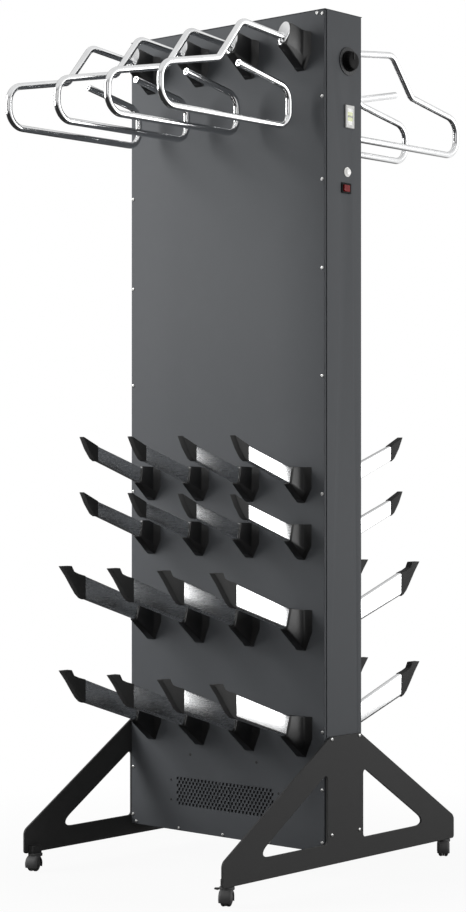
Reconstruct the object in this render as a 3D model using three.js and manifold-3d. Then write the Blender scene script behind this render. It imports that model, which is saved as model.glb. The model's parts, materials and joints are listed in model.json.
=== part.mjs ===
// A two-sided drying stand: a slim upright air cabinet on two foot plates with castors.
// Warm air leaves it through rows of nozzles that carry garment hangers, glove arms and boot arms.
// Millimetres. X is the width, Y the depth (the air intake is on the -Y face) and Z is up.
// The origin is on the floor, under the middle of the cabinet.
import * as THREE from 'three';
import { mergeVertices } from 'three/addons/utils/BufferGeometryUtils.js';
import Module from 'manifold-3d';

const wasm = await Module();
wasm.setup();

// ---------------------------------------------------------------- driving dimensions
const GAP = 0.3; // clearance between pieces that touch
const OVER = 1; // a cutting or joining shape reaches this far past the face it crosses
const SHEET = 1.5; // folded sheet steel

const BODY_WIDTH = 566;
const BODY_DEPTH = 112; // over the flanges of the side covers
const BODY_TOP = 1828;
const BODY_BOTTOM = 62;
const SIDE_FLANGE = 22; // flange of a side cover, turned in along X
const LIP = 18; // turned edge of the lid and of the floor tray

const PANEL_EDGE = 2; // front and rear panels end this far inside the width
const PANEL_STAND = 6.5; // front and rear panels stand this far proud of the side covers
const PANEL_BOTTOM = 64;

const COLUMNS = 4;
const COLUMN_PITCH = 145.6;

// rows of holders, measured at the middle of the arm or tube where it leaves its nozzle
const HANGER_DROP = 64; // below the lid; the other rows are heights above the floor
const GLOVE_UPPER_Z = 852;
const GLOVE_LOWER_Z = 732;
const BOOT_UPPER_Z = 553;
const BOOT_LOWER_Z = 329;

const STRIP_THICK = 3; // air strip that joins the nozzles of a row behind the panel
const STRIP_MARGIN = 8; // strip beyond the nozzle's neck, all round
const RAIL_THICK = 3; // metal rail that joins the arms of a row
const NECK_GAP = 0.5; // neck of a nozzle in its hole in the panel

const HANGER_TUBE_R = 7.3;
const HANGER_SIDES = 6;
const ARM_WIDTH = 14;
const TIP_WIDTH = 15.6;

const FOOT_LENGTH = 776; // along Y
const FOOT_THICK = 5;
const FOOT_TOP = 305;
const FOOT_BOTTOM = 38;
const FOOT_TOP_HALF = 50; // half length of the level top edge
const FOOT_END = 50; // height of the upright end
const FOOT_BAND = 57; // width of the sloping arm
const FOOT_RAIL = 44; // height of the bottom rail
const FOOT_POST = 60; // half width of the upright post
const FOOT_LOW_R = 6; // corner radii
const FOOT_TOP_R = 4;
const FOOT_POST_R = 8;
const FOOT_CORNER_R = 16;
const FOOT_TIP_R = 14;
const FOOT_SCREW_Y = 46.5;
const FOOT_SCREW_Z = [99.7, 299.5];
const FOOT_SCREW_R = 2.6;
const BOSS_WIDTH = 13; // welded block that takes a castor's stem
const BOSS_LENGTH = 26;
const BOSS_HEIGHT = 16;
const CASTOR_INSET = 25; // stem to the end of the foot plate

const WHEEL_R = 16;
const WHEEL_WIDTH = 11; // out to the middle of its domed face
const WHEEL_CHAMFER = 1;
const AXLE_R = 3;
const WEB_THICK = 5;
const HOOD_GAP = 1; // hood to tread
const HOOD_THICK = 1.6;
const HOOD_WIDTH = 28;
const HOOD_SHOULDER = 6; // width of the hood's rounded shoulders
const HOOD_FALL = 3.8; // drop of its shoulders
const HOOD_DROP = 4; // hood reaches this far below the axle
const TRAIL = 8; // axle behind the stem
const STEM_R = 4;
const STEM_LENGTH = 14;
const SWIVEL_R = 15.5;
const SWIVEL_HEIGHT = 6;
const COLLAR_R = 11; // below the swivel
const LEVER_LENGTH = 8;
const LEVER_THICK = 3.2;
const LEVER_WIDTH = 9;
const LEVER_Z = 33.5; // its pivot, beside the swivel

const GRILLE_X_PITCH = 28;
const GRILLE_Z_PITCH = 13;
const GRILLE_ROWS = 4;
const GRILLE_COLUMNS = 11;
const GRILLE_Z = 153;
const GRILLE_HOLE_X = 20;
const GRILLE_HOLE_Z = 9;
const FILTER_THICK = 6;
const FILTER_MARGIN = 6;

const SHELF_Z = 300;
const FAN_R = 78; // inside of the blower's scroll
const FAN_Z = 160;
const FAN_DEPTH = 62;
const FAN_WALL = 2;
const FAN_FRONT_Y = -35;
const FAN_INLET_R = 46;
const FAN_OUTLET_WIDTH = 56;
const WHEEL_FAN_R = 62; // impeller
const WHEEL_FAN_WIDTH = 44;
const FAN_BLADES = 12;
const FAN_SHAFT_R = 4;
const FAN_DISC = 2;
const FAN_RING = 3;
const FAN_RING_WIDTH = 14; // from the impeller's rim inwards
const FAN_HUB_R = 10;
const FAN_HUB_LENGTH = 20;
const BLADE_R = 54.5; // to the middle of a blade
const BLADE_CHORD = 11;
const BLADE_THICK = 1.6;
const BLADE_PITCH = 0.5; // radians
const MOTOR_R = 36;
const MOTOR_LENGTH = 24;
const HEATER_HEIGHT = 24;
const HEATER_FINS = 6;
const HEATER_WALL = 2;
const HEATER_FIN_THICK = 1.2;
const HEATER_FIN_INSET = 4; // fins to the upper and lower edges of the frame

const TIMER_Y = 15;
const TIMER_DROP = 101; // below the lid, as the other controls
const DIAL_R = 30;
const DIAL_THICK = 1.5;
const KNOB_R = 21;
const KNOB_TOP_R = 17;
const KNOB_HEIGHT = 14;
const KNOB_SHAFT_R = 3;
const KNOB_SKIRT = 3;
const KNOB_SHOULDER = 1; // skirt beyond the foot of the grip
const POINTER_WIDTH = 5;
const POINTER_RISE = 1.5;
const POINTER_INSET = 2; // from the top's edge
const TIMER_BOX = 38;
const TIMER_DEPTH = 30;
const METER_Y = 17;
const METER_DROP = 218;
const METER_WIDTH = 28;
const METER_HEIGHT = 48;
const METER_RIM = 3;
const METER_STAND = 4;
const METER_DEPTH = 26;
const METER_GLASS = 1.2;
const LAMP_Y = 11;
const LAMP_DROP = 335.5;
const LAMP_R = 10;
const LAMP_NECK_R = 7;
const LAMP_DEPTH = 24;
const LAMP_RIM = 2;
const LAMP_LENS_R = 8.5;
const LAMP_LENS_TOP_R = 6;
const LAMP_LENS_RISE = 6;
const ROCKER_Y = 7;
const ROCKER_DROP = 370;
const ROCKER_LENGTH = 31; // frame, along Y
const ROCKER_HEIGHT = 22;
const ROCKER_RIM = 2;
const ROCKER_STAND = 2.2;
const ROCKER_DEPTH = 22;
const ROCKER_TILT = 7; // degrees, each way
const ROCKER_WALL = 1.6; // of the frame round the button
const ROCKER_PIVOT_DEPTH = 2; // below the side cover's outer face
const ROCKER_WELL = 6; // depth of the frame's well behind the pivot
const ROCKER_ROOT = 3; // half size of the button's root
const ROCKER_END_GAP = 1; // button's ends to the frame
const GLAND_INSET = 83; // from the right side
const GLAND_Y = 30;
const GLAND_R = 11; // its nuts
const GLAND_THREAD_R = 8;
const GLAND_BORE_R = 4.5;
const GLAND_NUT = 9;
const GLAND_DOME = 5; // rounded cap under the nut
const GLAND_DOME_R = 9;
const GLAND_TIP_R = 7;
const GLAND_THREAD_END = 2; // thread past the locknut
const GLAND_LOCKNUT = 4;

// ---------------------------------------------------------------- derived places
const SIDE_X = BODY_WIDTH / 2;
const FLANGE_Y = BODY_DEPTH / 2;
const FACE_Y = FLANGE_Y + PANEL_STAND; // outer face of the front and rear panels
const LID_UNDER = BODY_TOP - SHEET;
const HANGER_Z = BODY_TOP - HANGER_DROP;
const TIMER_Z = BODY_TOP - TIMER_DROP;
const METER_Z = BODY_TOP - METER_DROP;
const LAMP_Z = BODY_TOP - LAMP_DROP;
const ROCKER_Z = BODY_TOP - ROCKER_DROP;
const GLAND_X = SIDE_X - GLAND_INSET;
const INNER_X = SIDE_X - SHEET;
const INNER_Y = FLANGE_Y - SHEET;
const COLUMN_X = [...Array(COLUMNS).keys()].map((i) => (i - (COLUMNS - 1) / 2) * COLUMN_PITCH);
const STRIP_BACK = SHEET + GAP; // from the panel's outer face to the strip
const RAIL_BACK = STRIP_BACK + STRIP_THICK + GAP;
const FOOT_INNER_X = SIDE_X + GAP;
const STEM_X = FOOT_INNER_X - BOSS_WIDTH / 2;
const STEM_Y = FOOT_LENGTH / 2 - CASTOR_INSET;
const ROCKER_PIVOT_X = SIDE_X - ROCKER_PIVOT_DEPTH;

// ---------------------------------------------------------------- looks
const look = (color, roughness, metalness) =>
  new THREE.MeshStandardMaterial({ color, roughness, metalness, flatShading: true });
const PAINT = look(0x54575a, 0.6, 0.2);
const FOOT_PAINT = look(0x3a3b3c, 0.6, 0.2);
const BLACK = look(0x161717, 0.55, 0);
const ALUMINIUM = look(0xc9cbcc, 0.3, 0.9);
const CHROME = look(0xe2e3e4, 0.1, 1);
const GALVANISED = look(0x9a9d9f, 0.45, 0.8);
const RUBBER = look(0x1c1c1c, 0.85, 0);
const WHITE = look(0xf0f0ec, 0.35, 0);
const DISPLAY = look(0xb9c24e, 0.15, 0);
const RED = look(0x9c1f22, 0.3, 0);
const FOAM = look(0x2a2b2c, 0.95, 0);

// ---------------------------------------------------------------- helpers
const Y_Z_X = new THREE.Matrix4().makeBasis(
  new THREE.Vector3(0, 1, 0),
  new THREE.Vector3(0, 0, 1),
  new THREE.Vector3(1, 0, 0),
);
const X_Z_FRONT = new THREE.Matrix4().makeBasis(
  new THREE.Vector3(1, 0, 0),
  new THREE.Vector3(0, 0, 1),
  new THREE.Vector3(0, -1, 0),
);

function solid(geometry) {
  const bare = geometry.clone();
  bare.deleteAttribute('normal');
  bare.deleteAttribute('uv');
  const merged = mergeVertices(bare, 1e-4);
  const vertProperties = new Float32Array(merged.attributes.position.array);
  const triVerts = new Uint32Array(merged.index.array);
  return new wasm.Manifold(new wasm.Mesh({ numProp: 3, vertProperties, triVerts }));
}

function geometryOf(body) {
  const mesh = body.getMesh();
  const geometry = new THREE.BufferGeometry();
  geometry.setAttribute('position', new THREE.BufferAttribute(mesh.vertProperties, 3));
  geometry.setIndex(new THREE.BufferAttribute(mesh.triVerts, 1));
  geometry.computeVertexNormals();
  return geometry;
}

function piece(name, shape, material, parent) {
  const geometry = shape.isBufferGeometry ? shape : geometryOf(shape);
  const mesh = new THREE.Mesh(geometry, material);
  mesh.name = name;
  parent.add(mesh);
  return mesh;
}

function join(parts) {
  return parts.reduce((whole, part) => whole.add(part));
}

function cut(body, tools) {
  return tools.reduce((whole, tool) => whole.subtract(tool), body);
}

function block([x0, y0, z0], [x1, y1, z1]) {
  const geometry = new THREE.BoxGeometry(x1 - x0, y1 - y0, z1 - z0);
  geometry.translate((x0 + x1) / 2, (y0 + y1) / 2, (z0 + z1) / 2);
  return solid(geometry);
}

function shapeOf(points) {
  return new THREE.Shape(points.map(([u, v]) => new THREE.Vector2(u, v)));
}

// corners are [u, v, radius]; each corner with a radius becomes an arc
function roundedShape(corners, ShapeClass = THREE.Shape) {
  const shape = new ShapeClass();
  corners.forEach(([u, v, radius = 0], i) => {
    const here = new THREE.Vector2(u, v);
    const before = new THREE.Vector2(...corners.at(i - 1));
    const after = new THREE.Vector2(...corners[(i + 1) % corners.length]);
    const back = before.sub(here).normalize();
    const ahead = after.sub(here).normalize();
    const half = Math.acos(THREE.MathUtils.clamp(back.dot(ahead), -1, 1)) / 2;
    const reach = radius / Math.tan(half);
    const enter = here.clone().addScaledVector(back, reach);
    if (i === 0) shape.moveTo(enter.x, enter.y);
    else shape.lineTo(enter.x, enter.y);
    if (radius > 0) {
      const middle = back.clone().add(ahead).normalize();
      const centre = here.clone().addScaledVector(middle, radius / Math.sin(half));
      const leave = here.clone().addScaledVector(ahead, reach);
      const start = Math.atan2(enter.y - centre.y, enter.x - centre.x);
      const end = Math.atan2(leave.y - centre.y, leave.x - centre.x);
      const clockwise = back.x * ahead.y - back.y * ahead.x > 0;
      shape.absarc(centre.x, centre.y, radius, start, end, clockwise);
    }
  });
  shape.closePath();
  return shape;
}

function extrude(shape, depth, curveSegments = 3) {
  return new THREE.ExtrudeGeometry(shape, { depth, bevelEnabled: false, curveSegments });
}

// outline in (y, z), between two x
function sideProfile(shape, x0, x1, curveSegments) {
  const geometry = extrude(shape, x1 - x0, curveSegments).applyMatrix4(Y_Z_X);
  geometry.translate(x0, 0, 0);
  return solid(geometry);
}

// outline in (x, z), between two y
function frontProfile(shape, y0, y1, curveSegments) {
  const geometry = extrude(shape, y1 - y0, curveSegments).applyMatrix4(X_Z_FRONT);
  geometry.translate(0, y1, 0);
  return solid(geometry);
}

// cylinder along one axis ('x', 'y' or 'z') from a to b, through the two other coordinates
function rod(axis, radius, a, b, centre, segments = 20, endRadius = radius) {
  const geometry = new THREE.CylinderGeometry(endRadius, radius, b - a, segments);
  geometry.translate(0, (a + b) / 2, 0);
  if (axis === 'x') geometry.rotateZ(-Math.PI / 2);
  if (axis === 'z') geometry.rotateX(Math.PI / 2);
  const [u, v] = centre;
  if (axis === 'x') geometry.translate(0, u, v);
  if (axis === 'y') geometry.translate(u, 0, v);
  if (axis === 'z') geometry.translate(u, v, 0);
  return solid(geometry);
}

// ---------------------------------------------------------------- sheet-metal body
// neck of a nozzle where it passes the panel: half width and z range from the row's height
const NECKS = {
  hanger: { half: 17, low: -46, high: 6 },
  glove: { half: 12, low: -42, high: 6 },
  boot: { half: 14, low: -46, high: 4 },
};
const ROWS = [
  ['hanger', HANGER_Z],
  ['glove', GLOVE_UPPER_Z],
  ['glove', GLOVE_LOWER_Z],
  ['boot', BOOT_UPPER_Z],
  ['boot', BOOT_LOWER_Z],
];

function neckHole(kind, rowZ, x) {
  const neck = NECKS[kind];
  const reach = neck.half + NECK_GAP;
  return block(
    [x - reach, -FACE_Y - OVER, rowZ + neck.low - NECK_GAP],
    [x + reach, -FACE_Y + SHEET + OVER, rowZ + neck.high + NECK_GAP],
  );
}

function grilleHoles() {
  const holes = [];
  for (let row = 0; row < GRILLE_ROWS; row++) {
    const z = GRILLE_Z + (row - (GRILLE_ROWS - 1) / 2) * GRILLE_Z_PITCH;
    const count = GRILLE_COLUMNS - (row % 2);
    for (let i = 0; i < count; i++) {
      const x = (i - (count - 1) / 2) * GRILLE_X_PITCH;
      const diamond = shapeOf([
        [x - GRILLE_HOLE_X / 2, z],
        [x, z - GRILLE_HOLE_Z / 2],
        [x + GRILLE_HOLE_X / 2, z],
        [x, z + GRILLE_HOLE_Z / 2],
      ]);
      holes.push(frontProfile(diamond, -FACE_Y - OVER, -FACE_Y + SHEET + OVER));
    }
  }
  return holes;
}

function facePanel(withGrille) {
  const half = SIDE_X - PANEL_EDGE;
  const back = -FLANGE_Y - GAP;
  const top = LID_UNDER - GAP;
  const tray = block([-half, -FACE_Y, PANEL_BOTTOM], [half, back, top]);
  const pocket = block(
    [-half + SHEET, -FACE_Y + SHEET, PANEL_BOTTOM + SHEET],
    [half - SHEET, back + OVER, top - SHEET],
  );
  const necks = ROWS.flatMap(([kind, z]) => COLUMN_X.map((x) => neckHole(kind, z, x)));
  const holes = withGrille ? necks.concat(grilleHoles()) : necks;
  return cut(tray, [pocket, ...holes]);
}

function sideCover(side) {
  const outer = block([SIDE_X - SIDE_FLANGE, -FLANGE_Y, BODY_BOTTOM], [SIDE_X, FLANGE_Y, LID_UNDER - GAP]);
  const inside = block(
    [SIDE_X - SIDE_FLANGE - OVER, -INNER_Y, BODY_BOTTOM - OVER],
    [INNER_X, INNER_Y, LID_UNDER + OVER],
  );
  const holes = footScrewHoles(INNER_X - OVER, SIDE_X + OVER);
  if (side === 'right') holes.push(...controlHoles());
  return cut(outer, [inside, ...holes]);
}

function footScrewHoles(x0, x1) {
  return FOOT_SCREW_Z.flatMap((z) =>
    [-FOOT_SCREW_Y, FOOT_SCREW_Y].map((y) => rod('x', FOOT_SCREW_R, x0, x1, [y, z], 8)),
  );
}

function controlHoles() {
  const x0 = INNER_X - OVER;
  const x1 = SIDE_X + OVER;
  const meterY = METER_WIDTH / 2 - METER_RIM + GAP;
  const meterZ = METER_HEIGHT / 2 - METER_RIM + GAP;
  const rockerY = ROCKER_LENGTH / 2 - ROCKER_RIM + GAP;
  const rockerZ = ROCKER_HEIGHT / 2 - ROCKER_RIM + GAP;
  return [
    rod('x', KNOB_SHAFT_R + 2 * GAP, x0, x1, [TIMER_Y, TIMER_Z], 16),
    rod('x', LAMP_NECK_R + GAP, x0, x1, [LAMP_Y, LAMP_Z], 16),
    block([x0, METER_Y - meterY, METER_Z - meterZ], [x1, METER_Y + meterY, METER_Z + meterZ]),
    block([x0, ROCKER_Y - rockerY, ROCKER_Z - rockerZ], [x1, ROCKER_Y + rockerY, ROCKER_Z + rockerZ]),
  ];
}

// a flat plate with a lip turned up or down just inside the side covers
function lippedPlate(plateZ, lipLow, lipHigh, reachX, reachY) {
  const plate = block([-reachX, -reachY, plateZ], [reachX, reachY, plateZ + SHEET]);
  const x = INNER_X - GAP;
  const y = INNER_Y - GAP;
  const outer = block([-x, -y, lipLow], [x, y, lipHigh]);
  const inner = block([-x + SHEET, -y + SHEET, lipLow - OVER], [x - SHEET, y - SHEET, lipHigh + OVER]);
  return plate.add(outer.subtract(inner));
}

function lid() {
  return lippedPlate(LID_UNDER, LID_UNDER - LIP, LID_UNDER + SHEET / 2, SIDE_X, FACE_Y);
}

function floorTray() {
  const tray = lippedPlate(
    BODY_BOTTOM,
    BODY_BOTTOM + SHEET / 2,
    BODY_BOTTOM + LIP,
    INNER_X - GAP,
    INNER_Y - GAP,
  );
  const low = BODY_BOTTOM - OVER;
  const high = BODY_BOTTOM + SHEET + OVER;
  return tray.subtract(rod('z', GLAND_THREAD_R + GAP, low, high, [GLAND_X, GLAND_Y], 16));
}

function cableGland() {
  const top = BODY_BOTTOM + SHEET + GAP;
  const under = BODY_BOTTOM - GAP;
  const low = under - GLAND_NUT - GLAND_DOME;
  const high = top + GLAND_LOCKNUT + GLAND_THREAD_END;
  const centre = [GLAND_X, GLAND_Y];
  const nut = rod('z', GLAND_R, under - GLAND_NUT, under, centre, 6);
  const dome = rod('z', GLAND_TIP_R, low, under - GLAND_NUT, centre, 12, GLAND_DOME_R);
  const neck = rod('z', GLAND_THREAD_R, under - OVER, high, centre, 16);
  const locknut = rod('z', GLAND_R, top, top + GLAND_LOCKNUT, centre, 6);
  const bore = rod('z', GLAND_BORE_R, low - OVER, high + OVER, centre, 12);
  return join([nut, dome, neck, locknut]).subtract(bore);
}

// ---------------------------------------------------------------- nozzles and arms
// In a row, y = 0 is the panel's outer face, -y points away from it and z = 0 is the row's height.
// A profile lists [distance out from the panel, z].
// A nozzle runs through sections from its outer end to the panel: top and low edge as [out, z],
// half width from the top down to the waist's z, and half width at the low edge.
const section = (top, low, half, waist, lowHalf) => ({ top, low, half, waist, lowHalf });
const NOZZLES = {
  hanger: [
    section([50, 34], [64.5, -14], 13, -8, 12),
    section([48, 33.5], [61, -18.5], 13.5, -12, 11.5),
    section([13, 22.5], [13, -53], 17, -29, 11),
    section([5, 20.5], [5, -57.5], 23, -27, 11),
    section([GAP, 19], [GAP, -60], 28, -24, 11),
  ],
  glove: [
    section([38.5, 18.5], [46.5, -19], 10.5, -15, 9.5),
    section([36.5, 18], [44, -26], 11, -18, 9.5),
    section([12, 17], [12, -50], 15.5, -33, 10),
    section([5, 17], [5, -55], 22, -31, 10),
    section([GAP, 17], [GAP, -58], 28, -28, 10),
  ],
  boot: [
    section([46.5, 21.5], [59, -24], 10.5, -19, 9.5),
    section([44, 20.5], [55, -30], 11, -22, 9.5),
    section([12, 17], [12, -61], 17, -34, 12),
    section([5, 16.5], [5, -67], 24, -32, 12),
    section([GAP, 16], [GAP, -70], 30, -30, 12),
  ],
};

// arm: [distance out, z] of its top and bottom edges at both ends; tip: the black end's outline
const ARMS = {
  glove: {
    top: [[39.5, 15.5], [181, 64]],
    bottom: [[46, -17], [178, 31]],
    tip: [[175, 62.6], [213, 80], [204, 57], [196, 45], [188, 35], [179, 29.5], [175, 29]],
  },
  boot: {
    top: [[48, 21], [217, 81]],
    bottom: [[57, -22], [215, 30]],
    tip: [
      [213, 80.2], [236, 86], [250, 92], [257.5, 103.5], [279.5, 103.5],
      [262, 80.5], [245, 57], [233, 41.5], [222, 32], [213, 28.5],
    ],
  },
};

// a closed body through the corners of its sections
function loft(sections) {
  const corners = sections.flatMap(({ top, low, half, waist, lowHalf }) => {
    const at = (x, z) => {
      const share = (top[1] - z) / (top[1] - low[1]);
      return [x, -THREE.MathUtils.lerp(top[0], low[0], share), z];
    };
    return [
      at(-half, waist),
      at(-half, top[1]),
      at(half, top[1]),
      at(half, waist),
      at(lowHalf, low[1]),
      at(-lowHalf, low[1]),
    ];
  });
  const count = corners.length / sections.length;
  const last = corners.length - count;
  const index = [];
  for (let k = 1; k < count - 1; k++) index.push(0, k + 1, k, last, last + k, last + k + 1);
  for (let start = 0; start < last; start += count) {
    for (let k = 0; k < count; k++) {
      const here = start + k;
      const beside = start + ((k + 1) % count);
      index.push(here, beside, beside + count, here, beside + count, here + count);
    }
  }
  const geometry = new THREE.BufferGeometry();
  geometry.setAttribute('position', new THREE.Float32BufferAttribute(corners.flat(), 3));
  geometry.setIndex(index);
  return solid(geometry);
}

function outwardShape(profile) {
  return shapeOf(profile.map(([out, z]) => [-out, z]));
}

function armBody(kind, width, clearance) {
  const { top, bottom } = ARMS[kind];
  const slope = (edge) => (edge[1][1] - edge[0][1]) / (edge[1][0] - edge[0][0]);
  const at = (edge, out) => edge[0][1] + slope(edge) * (out - edge[0][0]);
  const inner = -RAIL_BACK - RAIL_THICK / 2;
  const outTop = top[1][0];
  const outBottom = bottom[1][0];
  const outline = shapeOf([
    [-inner, at(bottom, inner) - clearance],
    [-inner, at(top, inner) + clearance],
    [-outTop, at(top, outTop) + clearance],
    [-outBottom, at(bottom, outBottom) - clearance],
  ]);
  return sideProfile(outline, -width / 2 - clearance, width / 2 + clearance);
}

function armZRange(kind) {
  const { top, bottom } = ARMS[kind];
  const at = ([near, far]) => near[1] - ((near[0] + RAIL_BACK) * (far[1] - near[1])) / (far[0] - near[0]);
  return [at(bottom), at(top)];
}

function nozzleRow(kind) {
  const neck = NECKS[kind];
  const one = loft(NOZZLES[kind]);
  const passage = block([-neck.half, -OVER, neck.low], [neck.half, STRIP_BACK + OVER, neck.high]);
  const reach = COLUMN_X.at(-1) + neck.half + STRIP_MARGIN;
  const strip = block(
    [-reach, STRIP_BACK, neck.low - STRIP_MARGIN],
    [reach, STRIP_BACK + STRIP_THICK, neck.high + STRIP_MARGIN],
  );
  const parts = COLUMN_X.flatMap((x) => [one.translate([x, 0, 0]), passage.translate([x, 0, 0])]);
  const socket = kind === 'hanger' ? hangerSocket() : armBody(kind, ARM_WIDTH, GAP);
  return cut(join([strip, ...parts]), COLUMN_X.map((x) => socket.translate([x, 0, 0])));
}

function armRow(kind) {
  const arm = armBody(kind, ARM_WIDTH, 0);
  const tip = sideProfile(outwardShape(ARMS[kind].tip), -TIP_WIDTH / 2, TIP_WIDTH / 2);
  const one = arm.add(tip);
  const [low, high] = armZRange(kind);
  const reach = COLUMN_X.at(-1) + ARM_WIDTH;
  const rail = block([-reach, RAIL_BACK, low], [reach, RAIL_BACK + RAIL_THICK, high]);
  return join([rail, ...COLUMN_X.map((x) => one.translate([x, 0, 0]))]);
}

// ---------------------------------------------------------------- garment hangers
// centre line from the nozzle: [distance out from the panel, z from the row's height, bend radius]
const HANGER_START = [44, 1];
const HANGER_ROUTE = [
  [...HANGER_START, 0],
  [190, 17, 26],
  [260, -68, 18],
  [431, -100, 38],
  [431, -182, 38],
  [41, -182, 30],
  [41, -102, 34],
  [200, -70, 0],
];
const BEND_STEP = 30; // degrees of bend per segment
const SOCKET_LENGTH = 40; // past the nozzle's outer end
const FLANGE_HALF_X = 16;
const FLANGE_HALF_Z = 27.5;
const FLANGE_THICK = 3;
const FLANGE_Z = 10.5;

// A path with a given direction at each stop, so straight runs take no rings in between.
class BentPath extends THREE.Curve {
  constructor(stops) {
    super();
    this.stops = stops;
  }
  getUtoTmapping(u) {
    return u;
  }
  getPoint(t) {
    const last = this.stops.length - 1;
    const i = Math.min(Math.floor(t * last), last - 1);
    return this.stops[i].point.clone().lerp(this.stops[i + 1].point, t * last - i);
  }
  getTangent(t) {
    return this.stops[Math.round(t * (this.stops.length - 1))].direction.clone();
  }
}

function bentPath(route) {
  const points = route.map(([out, z]) => new THREE.Vector3(0, -out, z));
  const stops = [];
  points.forEach((here, i) => {
    if (i === 0 || i === points.length - 1) {
      const other = points[i === 0 ? 1 : i - 1];
      const direction = other.clone().sub(here).normalize();
      if (i > 0) direction.negate();
      stops.push({ point: here, direction });
      return;
    }
    const into = here.clone().sub(points[i - 1]).normalize();
    const away = points[i + 1].clone().sub(here).normalize();
    const turn = into.angleTo(away);
    const radius = route[i][2];
    const start = here.clone().addScaledVector(into, -radius * Math.tan(turn / 2));
    const side = away.clone().addScaledVector(into, -away.dot(into)).normalize();
    const count = Math.max(2, Math.ceil(THREE.MathUtils.radToDeg(turn) / BEND_STEP));
    for (let k = 0; k <= count; k++) {
      const angle = (turn * k) / count;
      const point = start.clone().addScaledVector(into, radius * Math.sin(angle));
      point.addScaledVector(side, radius * (1 - Math.cos(angle)));
      const direction = into.clone().multiplyScalar(Math.cos(angle)).addScaledVector(side, Math.sin(angle));
      stops.push({ point, direction });
    }
  });
  return new BentPath(stops);
}

function roundSection(radius, sides) {
  const points = [...Array(sides).keys()].map((i) => {
    const angle = ((i + 0.5) * 2 * Math.PI) / sides;
    return [radius * Math.cos(angle), radius * Math.sin(angle)];
  });
  return shapeOf(points);
}

function hangerTube(radius) {
  const path = bentPath(HANGER_ROUTE);
  const section = roundSection(radius, HANGER_SIDES);
  const steps = path.stops.length - 1;
  return solid(new THREE.ExtrudeGeometry(section, { extrudePath: path, steps, bevelEnabled: false }));
}

// oval flange that lies on the nozzle's slanting outer end
function hangerFlange() {
  const { top, low } = NOZZLES.hanger[0];
  const tilt = Math.atan2(low[0] - top[0], top[1] - low[1]);
  const seat = THREE.MathUtils.mapLinear(FLANGE_Z, top[1], low[1], top[0], low[0]);
  const flange = new THREE.CylinderGeometry(1, 1, FLANGE_THICK, 16);
  flange.scale(FLANGE_HALF_X, 1, FLANGE_HALF_Z);
  flange.translate(0, -FLANGE_THICK / 2, 0);
  flange.rotateX(-tilt);
  flange.translate(0, -seat - GAP / Math.cos(tilt), FLANGE_Z);
  return solid(flange);
}

function hanger() {
  return hangerTube(HANGER_TUBE_R).add(hangerFlange());
}

// blind hole in the nozzle for the tube's inner end
function hangerSocket() {
  const [start, next] = HANGER_ROUTE;
  const run = new THREE.Vector3(0, start[0] - next[0], next[1] - start[1]).normalize();
  const from = new THREE.Vector3(0, -start[0], start[1]).addScaledVector(run, -GAP);
  const to = from.clone().addScaledVector(run, SOCKET_LENGTH);
  const section = roundSection(HANGER_TUBE_R + GAP, HANGER_SIDES);
  const line = new THREE.LineCurve3(from, to);
  return solid(new THREE.ExtrudeGeometry(section, { extrudePath: line, steps: 1, bevelEnabled: false }));
}

// ---------------------------------------------------------------- foot plates and castors
function footPlate() {
  const end = FOOT_LENGTH / 2;
  const shoulder = FOOT_BOTTOM + FOOT_END;
  const outline = roundedShape([
    [-end, FOOT_BOTTOM, FOOT_LOW_R],
    [end, FOOT_BOTTOM, FOOT_LOW_R],
    [end, shoulder, FOOT_CORNER_R],
    [FOOT_TOP_HALF, FOOT_TOP, FOOT_TOP_R],
    [-FOOT_TOP_HALF, FOOT_TOP, FOOT_TOP_R],
    [-end, shoulder, FOOT_CORNER_R],
  ]);
  const slope = (FOOT_TOP - shoulder) / (end - FOOT_TOP_HALF);
  const drop = FOOT_BAND * Math.hypot(1, slope);
  const floor = FOOT_BOTTOM + FOOT_RAIL;
  const innerTop = FOOT_TOP - drop - slope * (FOOT_POST - FOOT_TOP_HALF);
  const tip = FOOT_POST + (innerTop - floor) / slope;
  for (const side of [-1, 1]) {
    const corners = [
      [side * FOOT_POST, floor, FOOT_POST_R],
      [side * FOOT_POST, innerTop, FOOT_POST_R],
      [side * tip, floor, FOOT_TIP_R],
    ];
    outline.holes.push(roundedShape(corners, THREE.Path));
  }
  const plate = sideProfile(outline, FOOT_INNER_X, FOOT_INNER_X + FOOT_THICK);
  const bosses = [-STEM_Y, STEM_Y].map((y) =>
    block(
      [FOOT_INNER_X - BOSS_WIDTH, y - BOSS_LENGTH / 2, FOOT_BOTTOM],
      [FOOT_INNER_X + OVER, y + BOSS_LENGTH / 2, FOOT_BOTTOM + BOSS_HEIGHT],
    ),
  );
  const bores = [-STEM_Y, STEM_Y].map((y) =>
    rod('z', STEM_R + GAP, FOOT_BOTTOM - OVER, FOOT_BOTTOM + BOSS_HEIGHT + OVER, [STEM_X, y], 12),
  );
  const screws = footScrewHoles(FOOT_INNER_X - OVER, FOOT_INNER_X + FOOT_THICK + OVER);
  return cut(join([plate, ...bosses]), [...bores, ...screws]);
}

// In a castor, the stem is the z axis, the wheels roll along x and the floor is z = 0.
const atAxle = (body) => body.translate([-TRAIL, 0, WHEEL_R]);

// turned about the axle; the profile lists [radius, y] outwards along the axle
function lathed(profile) {
  return atAxle(solid(new THREE.LatheGeometry(profile.map(([r, y]) => new THREE.Vector2(r, y)), 18)));
}

function mirrored(profile) {
  return profile.map(([r, y]) => [r, -y]).reverse();
}

// the hood's side from its crown out to its flat end
function shoulder(radius, half) {
  return [
    [radius, half - HOOD_SHOULDER],
    [radius - HOOD_FALL / 4, half - HOOD_SHOULDER / 2],
    [radius - HOOD_FALL, half],
  ];
}

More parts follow.
